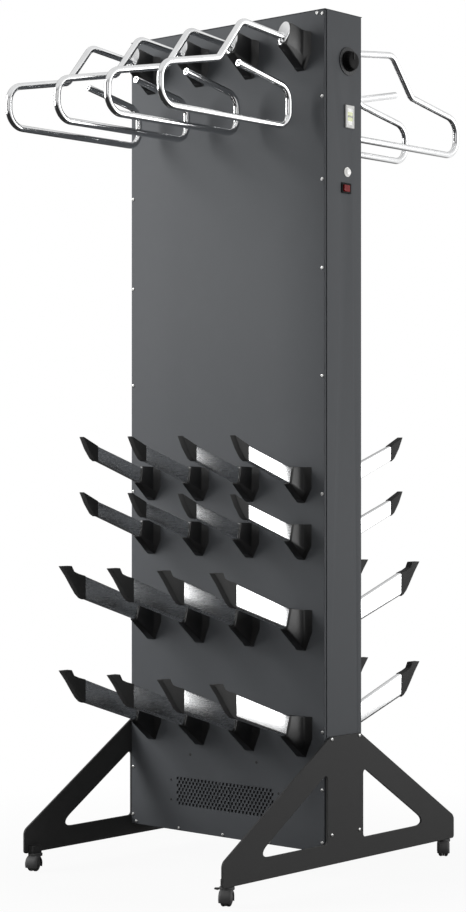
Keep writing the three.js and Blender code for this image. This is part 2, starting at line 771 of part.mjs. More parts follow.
function wheelPocket(side) {
  const half = HOOD_WIDTH / 2;
  const radius = WHEEL_R + HOOD_GAP;
  const near = WEB_THICK / 2;
  const far = half + OVER;
  const profile = [[0, near], [radius, near], ...shoulder(radius, half), [radius - HOOD_FALL, far], [0, far]];
  return lathed(side > 0 ? profile : mirrored(profile));
}

function castorHood() {
  const outer = WHEEL_R + HOOD_GAP + HOOD_THICK;
  const half = HOOD_WIDTH / 2;
  const side = [...shoulder(outer, half), [0, half]];
  const shell = lathed([...mirrored(side), ...side]);
  const reach = outer + OVER;
  const below = atAxle(block([-reach, -half - OVER, -reach], [reach, half + OVER, -HOOD_DROP]));
  const top = FOOT_BOTTOM - GAP;
  const swivel = rod('z', SWIVEL_R, top - SWIVEL_HEIGHT, top, [0, 0], 20);
  const collar = rod('z', COLLAR_R, WHEEL_R, top - OVER, [0, 0], 16);
  const stem = rod('z', STEM_R, top - OVER, top + STEM_LENGTH, [0, 0], 10);
  const axleHole = rod('y', AXLE_R + GAP, -HOOD_WIDTH, HOOD_WIDTH, [-TRAIL, WHEEL_R], 12);
  return cut(join([shell, swivel, collar, stem]), [below, wheelPocket(1), wheelPocket(-1), axleHole]);
}

// domed outer face of a wheel, as shares of its radius and width
const WHEEL_DOME = [[1, 0.34], [0.95, 0.5], [0.78, 0.67], [0.53, 0.84], [0.31, 0.95], [0, 1]];

function castorWheels() {
  const near = WEB_THICK / 2 + GAP;
  const half = [
    [AXLE_R, near],
    [WHEEL_R - WHEEL_CHAMFER, near],
    [WHEEL_R, near + WHEEL_CHAMFER],
    ...WHEEL_DOME.map(([r, y]) => [WHEEL_R * r, near + WHEEL_WIDTH * y]),
  ];
  return lathed([...mirrored(half), ...half]);
}

// pedal beside the swivel, with its round root as the pivot
function brakeLever() {
  const root = LEVER_THICK / 2;
  const start = SWIVEL_R + GAP + root;
  const outline = new THREE.Shape();
  outline.absarc(start, LEVER_Z, root, Math.PI / 2, (3 * Math.PI) / 2, false);
  outline.lineTo(start + LEVER_LENGTH, LEVER_Z);
  outline.lineTo(start + LEVER_LENGTH, LEVER_Z + root);
  outline.closePath();
  return sideProfile(outline, -LEVER_WIDTH / 2, LEVER_WIDTH / 2);
}

// ---------------------------------------------------------------- blower, filter and heater
function scrollOutline(radius, wall) {
  const right = FAN_R + wall;
  const left = FAN_R - FAN_OUTLET_WIDTH - wall;
  const shape = new THREE.Shape();
  shape.moveTo(right, SHELF_Z - GAP);
  shape.lineTo(left, SHELF_Z - GAP);
  shape.lineTo(left, FAN_Z + Math.sqrt(radius * radius - left * left));
  shape.absarc(0, FAN_Z, radius, Math.acos(left / radius), 2 * Math.PI, false);
  shape.closePath();
  return shape;
}

function blowerHousing() {
  const back = FAN_FRONT_Y + FAN_DEPTH;
  const outer = frontProfile(scrollOutline(FAN_R + FAN_WALL, FAN_WALL), FAN_FRONT_Y, back, 10);
  const inner = frontProfile(scrollOutline(FAN_R, 0), FAN_FRONT_Y + FAN_WALL, back - FAN_WALL, 10);
  const mouth = block(
    [FAN_R - FAN_OUTLET_WIDTH, FAN_FRONT_Y + FAN_WALL, FAN_Z + FAN_R],
    [FAN_R, back - FAN_WALL, SHELF_Z + OVER],
  );
  const inlet = rod('y', FAN_INLET_R, FAN_FRONT_Y - OVER, FAN_FRONT_Y + FAN_WALL + OVER, [0, FAN_Z], 24);
  const shaft = rod('y', FAN_SHAFT_R + 3 * GAP, back - FAN_WALL - OVER, back + OVER, [0, FAN_Z], 12);
  return cut(outer, [inner, mouth, inlet, shaft]);
}

function impeller() {
  const middle = FAN_FRONT_Y + FAN_DEPTH / 2;
  const front = middle - WHEEL_FAN_WIDTH / 2;
  const back = middle + WHEEL_FAN_WIDTH / 2;
  const centre = [0, FAN_Z];
  const disc = rod('y', WHEEL_FAN_R, back - FAN_DISC, back, centre, 24);
  const rim = rod('y', WHEEL_FAN_R, front, front + FAN_RING, centre, 24);
  const mouth = rod(
    'y', WHEEL_FAN_R - FAN_RING_WIDTH, front - OVER, front + FAN_RING + OVER, centre, 24,
  );
  const hub = rod('y', FAN_HUB_R, back - FAN_HUB_LENGTH, back, centre, 12);
  const shaftEnd = FAN_FRONT_Y + FAN_DEPTH + MOTOR_LENGTH / 2;
  const shaft = rod('y', FAN_SHAFT_R, back - OVER, shaftEnd, centre, 12);
  const blades = [...Array(FAN_BLADES).keys()].map((i) => {
    const geometry = new THREE.BoxGeometry(BLADE_CHORD, WHEEL_FAN_WIDTH - FAN_DISC, BLADE_THICK);
    geometry.rotateY(BLADE_PITCH);
    geometry.translate(BLADE_R, middle, 0);
    geometry.rotateY((i * 2 * Math.PI) / FAN_BLADES);
    geometry.translate(0, 0, FAN_Z);
    return solid(geometry);
  });
  return join([disc, rim.subtract(mouth), hub, shaft, ...blades]);
}

function blowerMotor() {
  const start = FAN_FRONT_Y + FAN_DEPTH + GAP;
  const centre = [0, FAN_Z];
  const can = rod('y', MOTOR_R, start, start + MOTOR_LENGTH, centre, 24);
  const bore = rod('y', FAN_SHAFT_R + GAP, start - OVER, start + MOTOR_LENGTH / 2 + GAP, centre, 12);
  return can.subtract(bore);
}

function intakeFilter() {
  const halfX = ((GRILLE_COLUMNS - 1) * GRILLE_X_PITCH) / 2 + GRILLE_HOLE_X / 2 + FILTER_MARGIN;
  const halfZ = ((GRILLE_ROWS - 1) * GRILLE_Z_PITCH) / 2 + GRILLE_HOLE_Z / 2 + FILTER_MARGIN;
  const start = -FACE_Y + SHEET + GAP;
  return block([-halfX, start, GRILLE_Z - halfZ], [halfX, start + FILTER_THICK, GRILLE_Z + halfZ]);
}

function outletWindow(low, high, margin) {
  return block(
    [FAN_R - FAN_OUTLET_WIDTH - margin, FAN_FRONT_Y + FAN_WALL - margin, low],
    [FAN_R + margin, FAN_FRONT_Y + FAN_DEPTH - FAN_WALL + margin, high],
  );
}

function fanShelf() {
  const x = INNER_X - GAP;
  const y = INNER_Y - GAP;
  const plate = block([-x, -y, SHELF_Z], [x, y, SHELF_Z + SHEET]);
  return plate.subtract(outletWindow(SHELF_Z - OVER, SHELF_Z + SHEET + OVER, 0));
}

function heater() {
  const low = SHELF_Z + SHEET + GAP;
  const high = low + HEATER_HEIGHT;
  const frame = outletWindow(low, high, HEATER_WALL).subtract(outletWindow(low - OVER, high + OVER, 0));
  const fins = [...Array(HEATER_FINS).keys()].map((i) => {
    const pitch = FAN_OUTLET_WIDTH / (HEATER_FINS + 1);
    const x = FAN_R - FAN_OUTLET_WIDTH + pitch * (i + 1);
    return block(
      [x - HEATER_FIN_THICK / 2, FAN_FRONT_Y + FAN_WALL - OVER, low + HEATER_FIN_INSET],
      [x + HEATER_FIN_THICK / 2, FAN_FRONT_Y + FAN_DEPTH - FAN_WALL + OVER, high - HEATER_FIN_INSET],
    );
  });
  return join([frame, ...fins]);
}

// ---------------------------------------------------------------- controls on the right side
function dialPlate() {
  const start = SIDE_X + GAP;
  const centre = [TIMER_Y, TIMER_Z];
  const disc = rod('x', DIAL_R, start, start + DIAL_THICK, centre, 32);
  return disc.subtract(rod('x', KNOB_SHAFT_R + 2 * GAP, start - OVER, start + DIAL_THICK + OVER, centre, 16));
}

function timerKnob() {
  const start = SIDE_X + GAP + DIAL_THICK + GAP;
  const top = start + KNOB_HEIGHT;
  const centre = [TIMER_Y, TIMER_Z];
  const skirt = rod('x', KNOB_R, start, start + KNOB_SKIRT, centre, 24);
  const foot = start + KNOB_SKIRT - OVER;
  const grip = rod('x', KNOB_R - KNOB_SHOULDER, foot, top, centre, 24, KNOB_TOP_R);
  const shaft = rod('x', KNOB_SHAFT_R, SIDE_X - TIMER_DEPTH / 2, start + OVER, centre, 12);
  const pointer = block(
    [top - OVER, TIMER_Y - POINTER_WIDTH / 2, TIMER_Z],
    [top + POINTER_RISE, TIMER_Y + POINTER_WIDTH / 2, TIMER_Z + KNOB_TOP_R - POINTER_INSET],
  );
  return join([skirt, grip, shaft, pointer]);
}

function timerBody() {
  const end = INNER_X - GAP;
  const half = TIMER_BOX / 2;
  const box = block(
    [end - TIMER_DEPTH, TIMER_Y - half, TIMER_Z - half],
    [end, TIMER_Y + half, TIMER_Z + half],
  );
  const start = SIDE_X - TIMER_DEPTH / 2 - GAP;
  const bore = rod('x', KNOB_SHAFT_R + GAP, start, end + OVER, [TIMER_Y, TIMER_Z], 12);
  return box.subtract(bore);
}

function rimmedBox(y, z, width, height, rim, stand, depth) {
  const face = SIDE_X + GAP;
  const bezel = block(
    [face, y - width / 2, z - height / 2],
    [face + stand, y + width / 2, z + height / 2],
  );
  const body = block(
    [face - depth, y - width / 2 + rim, z - height / 2 + rim],
    [face + stand / 2, y + width / 2 - rim, z + height / 2 - rim],
  );
  return bezel.add(body);
}

function meterRecess(clearance) {
  const face = SIDE_X + GAP + METER_STAND;
  const y = METER_WIDTH / 2 - 2 * METER_RIM + clearance;
  const z = METER_HEIGHT / 2 - 2 * METER_RIM + clearance;
  return block(
    [face - METER_GLASS - GAP - clearance, METER_Y - y, METER_Z - z],
    [face - GAP + (clearance > 0 ? GAP + OVER : 0), METER_Y + y, METER_Z + z],
  );
}

function meterHousing() {
  const housing = rimmedBox(
    METER_Y, METER_Z, METER_WIDTH, METER_HEIGHT, METER_RIM, METER_STAND, METER_DEPTH,
  );
  return housing.subtract(meterRecess(GAP));
}

function pilotLamp() {
  const face = SIDE_X + GAP;
  const centre = [LAMP_Y, LAMP_Z];
  const rim = rod('x', LAMP_R, face, face + LAMP_RIM, centre, 20);
  const lens = rod('x', LAMP_LENS_R, face + OVER, face + LAMP_LENS_RISE, centre, 20, LAMP_LENS_TOP_R);
  const neck = rod('x', LAMP_NECK_R, face - LAMP_DEPTH, face + OVER, centre, 16);
  return join([rim, lens, neck]);
}

function rockerFrame() {
  const frame = rimmedBox(
    ROCKER_Y, ROCKER_Z, ROCKER_LENGTH, ROCKER_HEIGHT, ROCKER_RIM, ROCKER_STAND, ROCKER_DEPTH,
  );
  const y = ROCKER_LENGTH / 2 - ROCKER_RIM - ROCKER_WALL;
  const z = ROCKER_HEIGHT / 2 - ROCKER_RIM - ROCKER_WALL;
  const well = block(
    [ROCKER_PIVOT_X - ROCKER_WELL, ROCKER_Y - y, ROCKER_Z - z],
    [SIDE_X + GAP + ROCKER_STAND + OVER, ROCKER_Y + y, ROCKER_Z + z],
  );
  return frame.subtract(well);
}

function rockerButton() {
  const half = ROCKER_LENGTH / 2 - ROCKER_RIM - ROCKER_WALL - ROCKER_END_GAP;
  const rise = SIDE_X + GAP + ROCKER_STAND - ROCKER_PIVOT_X;
  const lift = half * Math.tan(THREE.MathUtils.degToRad(ROCKER_TILT));
  const outline = shapeOf([
    [-ROCKER_ROOT, -ROCKER_ROOT],
    [ROCKER_ROOT, -ROCKER_ROOT],
    [half, 0],
    [half, rise + lift],
    [0, rise],
    [-half, rise + lift],
    [-half, 0],
  ]);
  const z = ROCKER_HEIGHT / 2 - ROCKER_RIM - ROCKER_WALL - GAP;
  const geometry = extrude(outline, 2 * z);
  geometry.translate(0, 0, -z);
  geometry.rotateZ(THREE.MathUtils.degToRad(-90 + ROCKER_TILT));
  return solid(geometry);
}

// ---------------------------------------------------------------- assembly
const cabinet = new THREE.Group();

piece('front_panel', facePanel(true), PAINT, cabinet);
piece('right_side_cover', sideCover('right'), PAINT, cabinet);
piece('top_cover', lid(), PAINT, cabinet);
piece('bottom_tray', floorTray(), PAINT, cabinet);
piece('cable_gland', cableGland(), BLACK, cabinet);

// the rear face, the left side and the left foot plate repeat the front half, turned about Z
const rearHalf = new THREE.Group();
rearHalf.rotation.z = Math.PI;
cabinet.add(rearHalf);
piece('rear_panel', facePanel(false), PAINT, rearHalf);
piece('left_side_cover', sideCover('left'), PAINT, rearHalf);

piece('foot_plate_right', footPlate(), FOOT_PAINT, cabinet);
piece('foot_plate_left', footPlate(), FOOT_PAINT, rearHalf);

const nozzleRows = { hanger: nozzleRow('hanger'), glove: nozzleRow('glove'), boot: nozzleRow('boot') };
const armRows = { glove: armRow('glove'), boot: armRow('boot') };
const hangerBody = hanger();
const sides = { front: cabinet, rear: rearHalf };
const levels = {
  hanger: [['', HANGER_Z]],
  glove: [['_upper', GLOVE_UPPER_Z], ['_lower', GLOVE_LOWER_Z]],
  boot: [['_upper', BOOT_UPPER_Z], ['_lower', BOOT_LOWER_Z]],
};
for (const [side, parent] of Object.entries(sides)) {
  for (const [kind, heights] of Object.entries(levels)) {
    for (const [level, z] of heights) {
      const nozzles = piece(`${kind}_nozzles_${side}${level}`, nozzleRows[kind], BLACK, parent);
      nozzles.position.set(0, -FACE_Y, z);
      if (kind === 'hanger') continue;
      const arms = piece(`${kind}_arms_${side}${level}`, armRows[kind], ALUMINIUM, parent);
      arms.position.set(0, -FACE_Y, z);
    }
  }
  COLUMN_X.forEach((x, i) => {
    piece(`hanger_${side}_${i + 1}`, hangerBody, CHROME, parent).position.set(x, -FACE_Y, HANGER_Z);
  });
}

piece('intake_filter', intakeFilter(), FOAM, cabinet);
piece('fan_shelf', fanShelf(), GALVANISED, cabinet);
piece('blower_housing', blowerHousing(), GALVANISED, cabinet);
piece('blower_impeller', impeller(), BLACK, cabinet);
piece('blower_motor', blowerMotor(), GALVANISED, cabinet);
piece('heater_element', heater(), ALUMINIUM, cabinet);

piece('dial_plate', dialPlate(), ALUMINIUM, cabinet);
piece('timer_knob', timerKnob(), BLACK, cabinet);
piece('timer_body', timerBody(), WHITE, cabinet);
piece('meter_housing', meterHousing(), WHITE, cabinet);
piece('meter_window', meterRecess(0), DISPLAY, cabinet);
piece('pilot_lamp', pilotLamp(), WHITE, cabinet);
piece('rocker_frame', rockerFrame(), BLACK, cabinet);
piece('rocker_button', rockerButton(), RED, cabinet).position.set(ROCKER_PIVOT_X, ROCKER_Y, ROCKER_Z);

// each castor's heading: degrees from +X to the side its wheels trail to, and whether it has a brake
const castors = [
  ['front_right', 1, -1, -58, true],
  ['front_left', -1, -1, -68, false],
  ['rear_right', 1, 1, -53, false],
  ['rear_left', -1, 1, -60, true],
];
for (const [corner, sideX, sideY, heading, braked] of castors) {
  const castor = new THREE.Group();
  castor.position.set(sideX * STEM_X, sideY * STEM_Y, 0);
  castor.rotation.z = THREE.MathUtils.degToRad(heading + 180);
  cabinet.add(castor);
  piece(`castor_hood_${corner}`, castorHood(), BLACK, castor);
  piece(`castor_wheels_${corner}`, castorWheels(), RUBBER, castor);
  if (braked) piece(`brake_lever_${corner}`, brakeLever(), BLACK, castor);
}

export default cabinet;
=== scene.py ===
"""Looks of a two-sided drying stand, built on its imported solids.

Every piece is modelled in millimetres on the front half of the stand and brought to metres at the
end. X is the width, -Y points out of the front panel and Z is up from the floor.
"""

import json
import math

import bmesh
import bpy
from mathutils import Matrix, Vector


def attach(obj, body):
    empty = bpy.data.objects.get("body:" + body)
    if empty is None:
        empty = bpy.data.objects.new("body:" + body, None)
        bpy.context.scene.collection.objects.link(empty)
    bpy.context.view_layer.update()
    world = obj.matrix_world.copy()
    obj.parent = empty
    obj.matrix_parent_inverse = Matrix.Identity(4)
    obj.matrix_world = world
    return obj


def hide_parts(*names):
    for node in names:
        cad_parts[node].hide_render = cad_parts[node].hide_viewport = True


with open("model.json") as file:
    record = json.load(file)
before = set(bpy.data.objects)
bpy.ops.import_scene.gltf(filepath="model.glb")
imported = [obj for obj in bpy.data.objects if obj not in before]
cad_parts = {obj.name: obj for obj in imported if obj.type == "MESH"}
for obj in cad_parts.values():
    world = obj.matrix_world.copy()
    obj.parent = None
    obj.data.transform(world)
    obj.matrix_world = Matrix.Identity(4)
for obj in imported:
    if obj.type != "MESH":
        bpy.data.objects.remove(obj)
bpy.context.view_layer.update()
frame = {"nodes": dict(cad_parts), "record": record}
slot_of = {entry["node"]: entry["material_slot"] for entry in frame["record"]["subparts"]}

# ------------------------------------------------------------------ sizes, in millimetres
MM = 0.001
GAP = 0.3  # clearance between parts that meet
SHEET = 1.5
SIDE_X = 283.0  # outer face of a side cover
FLANGE_Y = 56.0  # front edge of the side covers
FACE_Y = 62.5  # outer face of a panel
PANEL_HALF = 281.0
PANEL_LOW = 64.0
PANEL_HIGH = 1826.2
COLUMN_STEP = 145.6
COLUMNS = [COLUMN_STEP * (i - 1.5) for i in range(4)]
HANGER_Z = 1764.0
FOOT_X = SIDE_X + GAP  # inner face of a foot plate
FOOT_THICK = 5.0
ROWS = {
    "hanger": {"": HANGER_Z},
    "glove": {"_upper": 852.0, "_lower": 732.0},
    "boot": {"_upper": 553.0, "_lower": 329.0},
}
# turn about z to each side of the stand; the rear's also takes the right foot plate to the left
SIDES = {"front": 0.0, "rear": math.pi}
FOOT_ENDS = {"right": "front", "left": "rear"}
TIMER_PLACE = (15.0, 1727.0)  # y and z on the right side cover
METER_Z = 1610.0
LAMP_PLACE = (11.0, 1492.5)

# ------------------------------------------------------------------ camera, fitted to the photo, in metres
SENSOR = 36.0  # in millimetres, as is the lens
LENS = 84.91
CAMERA_PLACE = (3.1202, -3.5473, 0.8821)
CAMERA_TURN = (math.pi / 2 + 0.0023, 0.0, 0.7261)  # in radians


def make_camera():
    data = bpy.data.cameras.new("studio camera")
    data.sensor_width = SENSOR
    data.lens = LENS
    data.clip_end = 50.0
    camera = bpy.data.objects.new("studio camera", data)
    camera.location = CAMERA_PLACE
    camera.rotation_euler = CAMERA_TURN
    bpy.context.scene.collection.objects.link(camera)
    bpy.context.scene.camera = camera


# ------------------------------------------------------------------ shader tools
class Wire:
    """The output of a node; arithmetic on it adds Math nodes."""

    def __init__(self, graph, socket):
        self.graph = graph
        self.socket = socket

    def maths(self, operation, first, second):
        return self.graph.node("Math", {"operation": operation}, {0: first, 1: second})

    def __add__(self, other):
        return self.maths("ADD", self, other)

    def __sub__(self, other):
        return self.maths("SUBTRACT", self, other)

    def __rsub__(self, other):
        return self.maths("SUBTRACT", other, self)

    def __mul__(self, other):
        return self.maths("MULTIPLY", self, other)

    def __gt__(self, other):
        return self.maths("GREATER_THAN", self, other)

    def at_least(self, other):
        return self.maths("MAXIMUM", self, other)

    def zigzag(self, reach):
        return self.maths("PINGPONG", self, reach)

    def near(self, middle, reach):
        """One within this reach of a value, and nought elsewhere."""
        return self.graph.node("Math", {"operation": "COMPARE"}, {0: self, 1: middle, 2: reach})

    __radd__ = __add__
    __rmul__ = __mul__


class Graph:
    """The nodes of a material or of the world."""

    def __init__(self, tree):
        self.tree = tree

    def connect(self, value, socket):
        """Puts a wire, a colour of three numbers or a plain value on a socket."""
        if isinstance(value, Wire):
            self.tree.links.new(value.socket, socket)
        elif socket.type == "RGBA":
            socket.default_value = (*value, 1.0)
        else:
            socket.default_value = value

    def node(self, kind, settings, inputs, output=0):
        node = self.tree.nodes.new("ShaderNode" + kind)
        for name, value in settings.items():
            if name == "stops":
                self.set_stops(node.color_ramp, value)
            else:
                setattr(node, name, value)
        for name, value in inputs.items():
            self.connect(value, node.inputs[name])
        return Wire(self, node.outputs[output])

    @staticmethod
    def set_stops(ramp, stops):
        """Sets the stops of a grey ramp, each a place and a value."""
        while len(ramp.elements) < len(stops):
            ramp.elements.new(0.5)
        for element, (place, value) in zip(ramp.elements, stops):
            element.position = place
            element.color = (value, value, value, 1.0)

    def spot(self):
        return self.node("TexCoord", {}, {}, "Object")

    def place(self, turn=(0.0, 0.0, 0.0), stretch=(1.0, 1.0, 1.0)):
        return self.node("Mapping", {}, {"Vector": self.spot(), "Rotation": turn, "Scale": stretch})

    def part(self, vector, axis):
        return self.node("SeparateXYZ", {}, {"Vector": vector}, axis)

    def length(self, vector):
        return self.node("VectorMath", {"operation": "LENGTH"}, {0: vector}, 1)

    def reach_along(self, vector, direction):
        return self.node("VectorMath", {"operation": "DOT_PRODUCT"}, {0: vector, 1: direction}, 1)

    def noise(self, where, scale, detail=2.0, roughness=0.5):
        values = {"Vector": where, "Scale": scale, "Detail": detail, "Roughness": roughness}
        return self.node("TexNoise", {}, values, "Fac")

    def cells(self, where, scale, output="Distance"):
        return self.node("TexVoronoi", {}, {"Vector": where, "Scale": scale}, output)

    def ramp(self, value, *stops):
        return self.node("ValToRGB", {"stops": stops}, {"Fac": value}, "Color")

    def scaled(self, value, source, target):
        """Maps one range of a value to another and holds it at the ends."""
        ends = {"From Min": source[0], "From Max": source[1], "To Min": target[0], "To Max": target[1]}
        return self.node("MapRange", {}, {"Value": value, **ends})

    def mix(self, factor, first, second):
        values = {"Factor": factor, 6: first, 7: second}
        return self.node("Mix", {"data_type": "RGBA"}, values, 2)

    def mix_shaders(self, factor, first, second):
        return self.node("MixShader", {}, {"Fac": factor, 1: first, 2: second})

    def glow(self, strength):
        return self.node("Emission", {}, {"Color": (1.0, 1.0, 1.0), "Strength": strength})

    def ray(self, kind):
        return self.node("LightPath", {}, {}, f"Is {kind} Ray")


class Finish(Graph):
    """A material with one Principled shader and the nodes that feed it."""

    def __init__(self, name, **values):
        self.material = bpy.data.materials.new(name)
        self.material.use_nodes = True
        super().__init__(self.material.node_tree)
        self.shader = self.tree.nodes["Principled BSDF"]
        for socket, value in values.items():
            self.set(socket.replace("_", " "), value)

    def set(self, socket, value):
        self.connect(value, self.shader.inputs[socket])
        return self

    def bump(self, height, strength, distance):
        values = {"Height": height, "Strength": strength, "Distance": distance}
        return self.set("Normal", self.node("Bump", {}, values))


# ------------------------------------------------------------------ finishes, with lengths in metres
def powder_coat(name, colour, paler, rough, specular):
    finish = Finish(name, IOR=1.5, Specular_IOR_Level=specular)
    where = finish.place()
    cloud = finish.noise(where, 2.2, 3.0)
    grain = finish.noise(where, 620.0, 2.0)
    dust = finish.ramp(finish.noise(where, 16.0, 5.0, 0.65), (0.5, 0.0), (0.85, 1.0))
    tint = cloud * 0.7 + dust * 0.25 + grain * 0.2
    finish.set("Base Color", finish.mix(tint, colour, paler))
    finish.set("Roughness", cloud * 0.08 + grain * 0.1 + rough)
    return finish.bump(grain, 0.25, 0.0004).material


def moulded_plastic(name, colour, paler, rough, specular=0.5):
    finish = Finish(name, IOR=1.48, Specular_IOR_Level=specular)
    where = finish.place()
    cloud = finish.noise(where, 30.0, 3.0)
    grain = finish.noise(where, 480.0, 2.0)
    finish.set("Base Color", finish.mix(cloud * 0.8 + grain * 0.2, colour, paler))
    finish.set("Roughness", cloud * 0.12 + grain * 0.1 + rough)
    return finish.bump(grain, 0.3, 0.0002).material


def brushed_metal(name, colour, darker, turn, rough):
    finish = Finish(name, Metallic=1.0)
    lines = finish.noise(finish.place(turn, (1.0, 0.02, 1.0)), 1500.0, 3.0, 0.6)
    smudge = finish.noise(finish.place(), 14.0, 4.0)
    finish.set("Base Color", finish.mix(lines * 0.5 + smudge * 0.5, colour, darker))
    finish.set("Roughness", lines * 0.08 + smudge * 0.06 + rough)
    return finish.bump(lines, 0.02, 0.0001).material


def polished_chrome():
    finish = Finish("hanger chrome", Metallic=1.0)
    where = finish.place()
    smudge = finish.ramp(finish.noise(where, 22.0, 5.0, 0.6), (0.42, 0.0), (0.8, 1.0))
    fine = finish.noise(where, 900.0, 2.0)
    finish.set("Base Color", finish.mix(smudge, (0.86, 0.865, 0.87), (0.72, 0.725, 0.73)))
    finish.set("Roughness", smudge * 0.08 + fine * 0.03 + 0.09)
    return finish.bump(fine, 0.03, 0.0001).material


def galvanised():
    finish = Finish("galvanised steel", Metallic=1.0)
    where = finish.place()
    flakes = finish.cells(where, 90.0, "Color")
    cloud = finish.noise(where, 12.0, 3.0)
    shade = finish.node("SeparateColor", {}, {"Color": flakes}, "Red")
    finish.set("Base Color", finish.mix(shade * 0.6 + cloud * 0.4, (0.48, 0.5, 0.52), (0.3, 0.31, 0.32)))
    finish.set("Roughness", shade * 0.15 + 0.35)
    return finish.bump(shade, 0.1, 0.0002).material


def tyre_rubber():
    finish = Finish("wheel rubber", IOR=1.5)
    where = finish.place()
    dust = finish.ramp(finish.noise(where, 120.0, 5.0, 0.7), (0.45, 0.0), (0.75, 1.0))
    grain = finish.noise(where, 1400.0, 2.0)
    finish.set("Base Color", finish.mix(dust * 0.6, (0.03, 0.03, 0.03), (0.075, 0.073, 0.07)))
    finish.set("Roughness", dust * 0.15 + 0.55)
    return finish.bump(grain, 0.35, 0.0003).material


def filter_foam():
    finish = Finish("filter foam", Roughness=0.95)
    where = finish.place()
    cells = finish.cells(where, 700.0)
    finish.set("Base Color", finish.mix(cells, (0.004, 0.004, 0.004), (0.02, 0.021, 0.022)))
    return finish.bump(cells, 0.8, 0.001).material


def zinc_screw():
    finish = Finish("bright zinc", Metallic=1.0)
    where = finish.place()
    cloud = finish.noise(where, 400.0, 3.0)
    finish.set("Base Color", finish.mix(cloud, (0.74, 0.74, 0.73), (0.55, 0.55, 0.54)))
    finish.set("Roughness", cloud * 0.2 + 0.32)
    return finish.bump(cloud, 0.1, 0.0002).material


def glossy_plastic(name, colour, paler):
    finish = Finish(name, IOR=1.49, Specular_IOR_Level=0.15)
    cloud = finish.noise(finish.place(), 260.0, 2.0)
    finish.set("Base Color", finish.mix(cloud, colour, paler))
    finish.set("Roughness", cloud * 0.08 + 0.22)
    return finish.bump(cloud, 0.05, 0.0002).material


def lamp_lens():
    finish = Finish("lamp lens", IOR=1.49, Emission_Strength=0.3, Emission_Color=(1.0, 0.98, 0.94))
    cells = finish.cells(finish.place(), 700.0)
    finish.set("Base Color", finish.mix(cells, (0.9, 0.9, 0.88), (0.78, 0.79, 0.8)))
    finish.set("Roughness", cells * 0.1 + 0.12)
    return finish.bump(cells, 0.4, 0.0004).material


METER_BAND_HALF = 0.0095
METER_STRIP_HALF = 0.0018
METER_DRUM_HALF = 0.0014
METER_SEAM_HALF = 0.000222


def meter_face():
    """A counter behind a window: white ground, a yellow-green band and a dark strip of drums."""
    finish = Finish("meter face", IOR=1.49, Coat_Weight=0.5, Coat_Roughness=0.04)
    spot = finish.spot()
    height = finish.part(spot, "Z")
    band = height.near(METER_Z * MM, METER_BAND_HALF)
    strip = height.near(METER_Z * MM, METER_STRIP_HALF)
    on_drum = finish.part(spot, "Y").zigzag(METER_DRUM_HALF) > METER_SEAM_HALF
    ground = finish.mix(band, (0.92, 0.92, 0.88), (0.7, 0.76, 0.3))
    drums = finish.mix(on_drum * 0.6, (0.05, 0.05, 0.03), (0.14, 0.14, 0.1))
    finish.set("Base Color", finish.mix(strip, ground, drums))
    finish.set("Roughness", finish.noise(finish.place(), 300.0) * 0.1 + 0.15)
    return finish.material


DIAL_MARKS = 24
DIAL_MARK_HALF = 0.014  # in radians
DIAL_MARKS_FROM = 0.0245


def dial_metal():
    """Dark dial ring with fine marks round it."""
    finish = Finish("dial ring", Metallic=0.3, Specular_IOR_Level=0.3)
    to_centre = (0.0, -TIMER_PLACE[0] * MM, -TIMER_PLACE[1] * MM)
    centred = finish.node("Mapping", {}, {"Vector": finish.spot(), "Location": to_centre})
    across, height = finish.part(centred, "Y"), finish.part(centred, "Z")
    wave = height.maths("ARCTAN2", height, across).zigzag(math.pi / DIAL_MARKS)
    ring = finish.length(centred) > DIAL_MARKS_FROM
    marks = DIAL_MARK_HALF - wave > 0.0
    grain = finish.noise(finish.place(), 700.0)
    base = finish.mix(grain, (0.026, 0.027, 0.028), (0.034, 0.035, 0.037))
    finish.set("Base Color", finish.mix(marks * ring, base, (0.08, 0.08, 0.08)))
    finish.set("Roughness", grain * 0.15 + 0.42)
    return finish.bump(grain, 0.1, 0.0001).material


ARM_SLOPE = math.atan(46 / 130)
FINISHES = {
    "cabinet_paint": powder_coat(
        "cabinet powder coat", (0.069, 0.073, 0.079), (0.086, 0.092, 0.1), 0.5, 0.25
    ),
    "foot_paint": powder_coat("foot powder coat", (0.034,) * 3, (0.044,) * 3, 0.55, 0.25),
    "nozzle_plastic": moulded_plastic("nozzle plastic", (0.002,) * 3, (0.005, 0.005, 0.0055), 0.26, 0.9),
    "tip_plastic": moulded_plastic("tip plastic", (0.034,) * 3, (0.046,) * 3, 0.55, 0.2),
    "arm_aluminium": brushed_metal("arm aluminium", (0.95,) * 3, (0.86, 0.87, 0.88), (ARM_SLOPE, 0, 0), 0.2),
    "hanger_chrome": polished_chrome(),
    "castor_plastic": moulded_plastic("castor plastic", (0.054, 0.054, 0.055), (0.078,) * 3, 0.5),
    "wheel_rubber": tyre_rubber(),
    "filter_foam": filter_foam(),
    "inner_steel": galvanised(),
    "black_plastic": moulded_plastic("black plastic", (0.002,) * 3, (0.005,) * 3, 0.3, 0.06),
    "heater_aluminium": brushed_metal("heater aluminium", (0.8,) * 3, (0.6,) * 3, (0, 0, 0), 0.3),
    "dial_aluminium": dial_metal(),
    "white_plastic": moulded_plastic("white plastic", (0.86, 0.86, 0.84), (0.91, 0.91, 0.89), 0.3),
    "meter_glass": meter_face(),
    "lamp_white": lamp_lens(),
    "rocker_red": glossy_plastic("rocker red", (0.2, 0.004, 0.006), (0.26, 0.007, 0.009)),
    "zinc": zinc_screw(),
}


# ------------------------------------------------------------------ mesh tools
def only(kind, parts):
    """The vertices, edges or faces among what an operator made."""
    return [part for part in parts if isinstance(part, kind)]


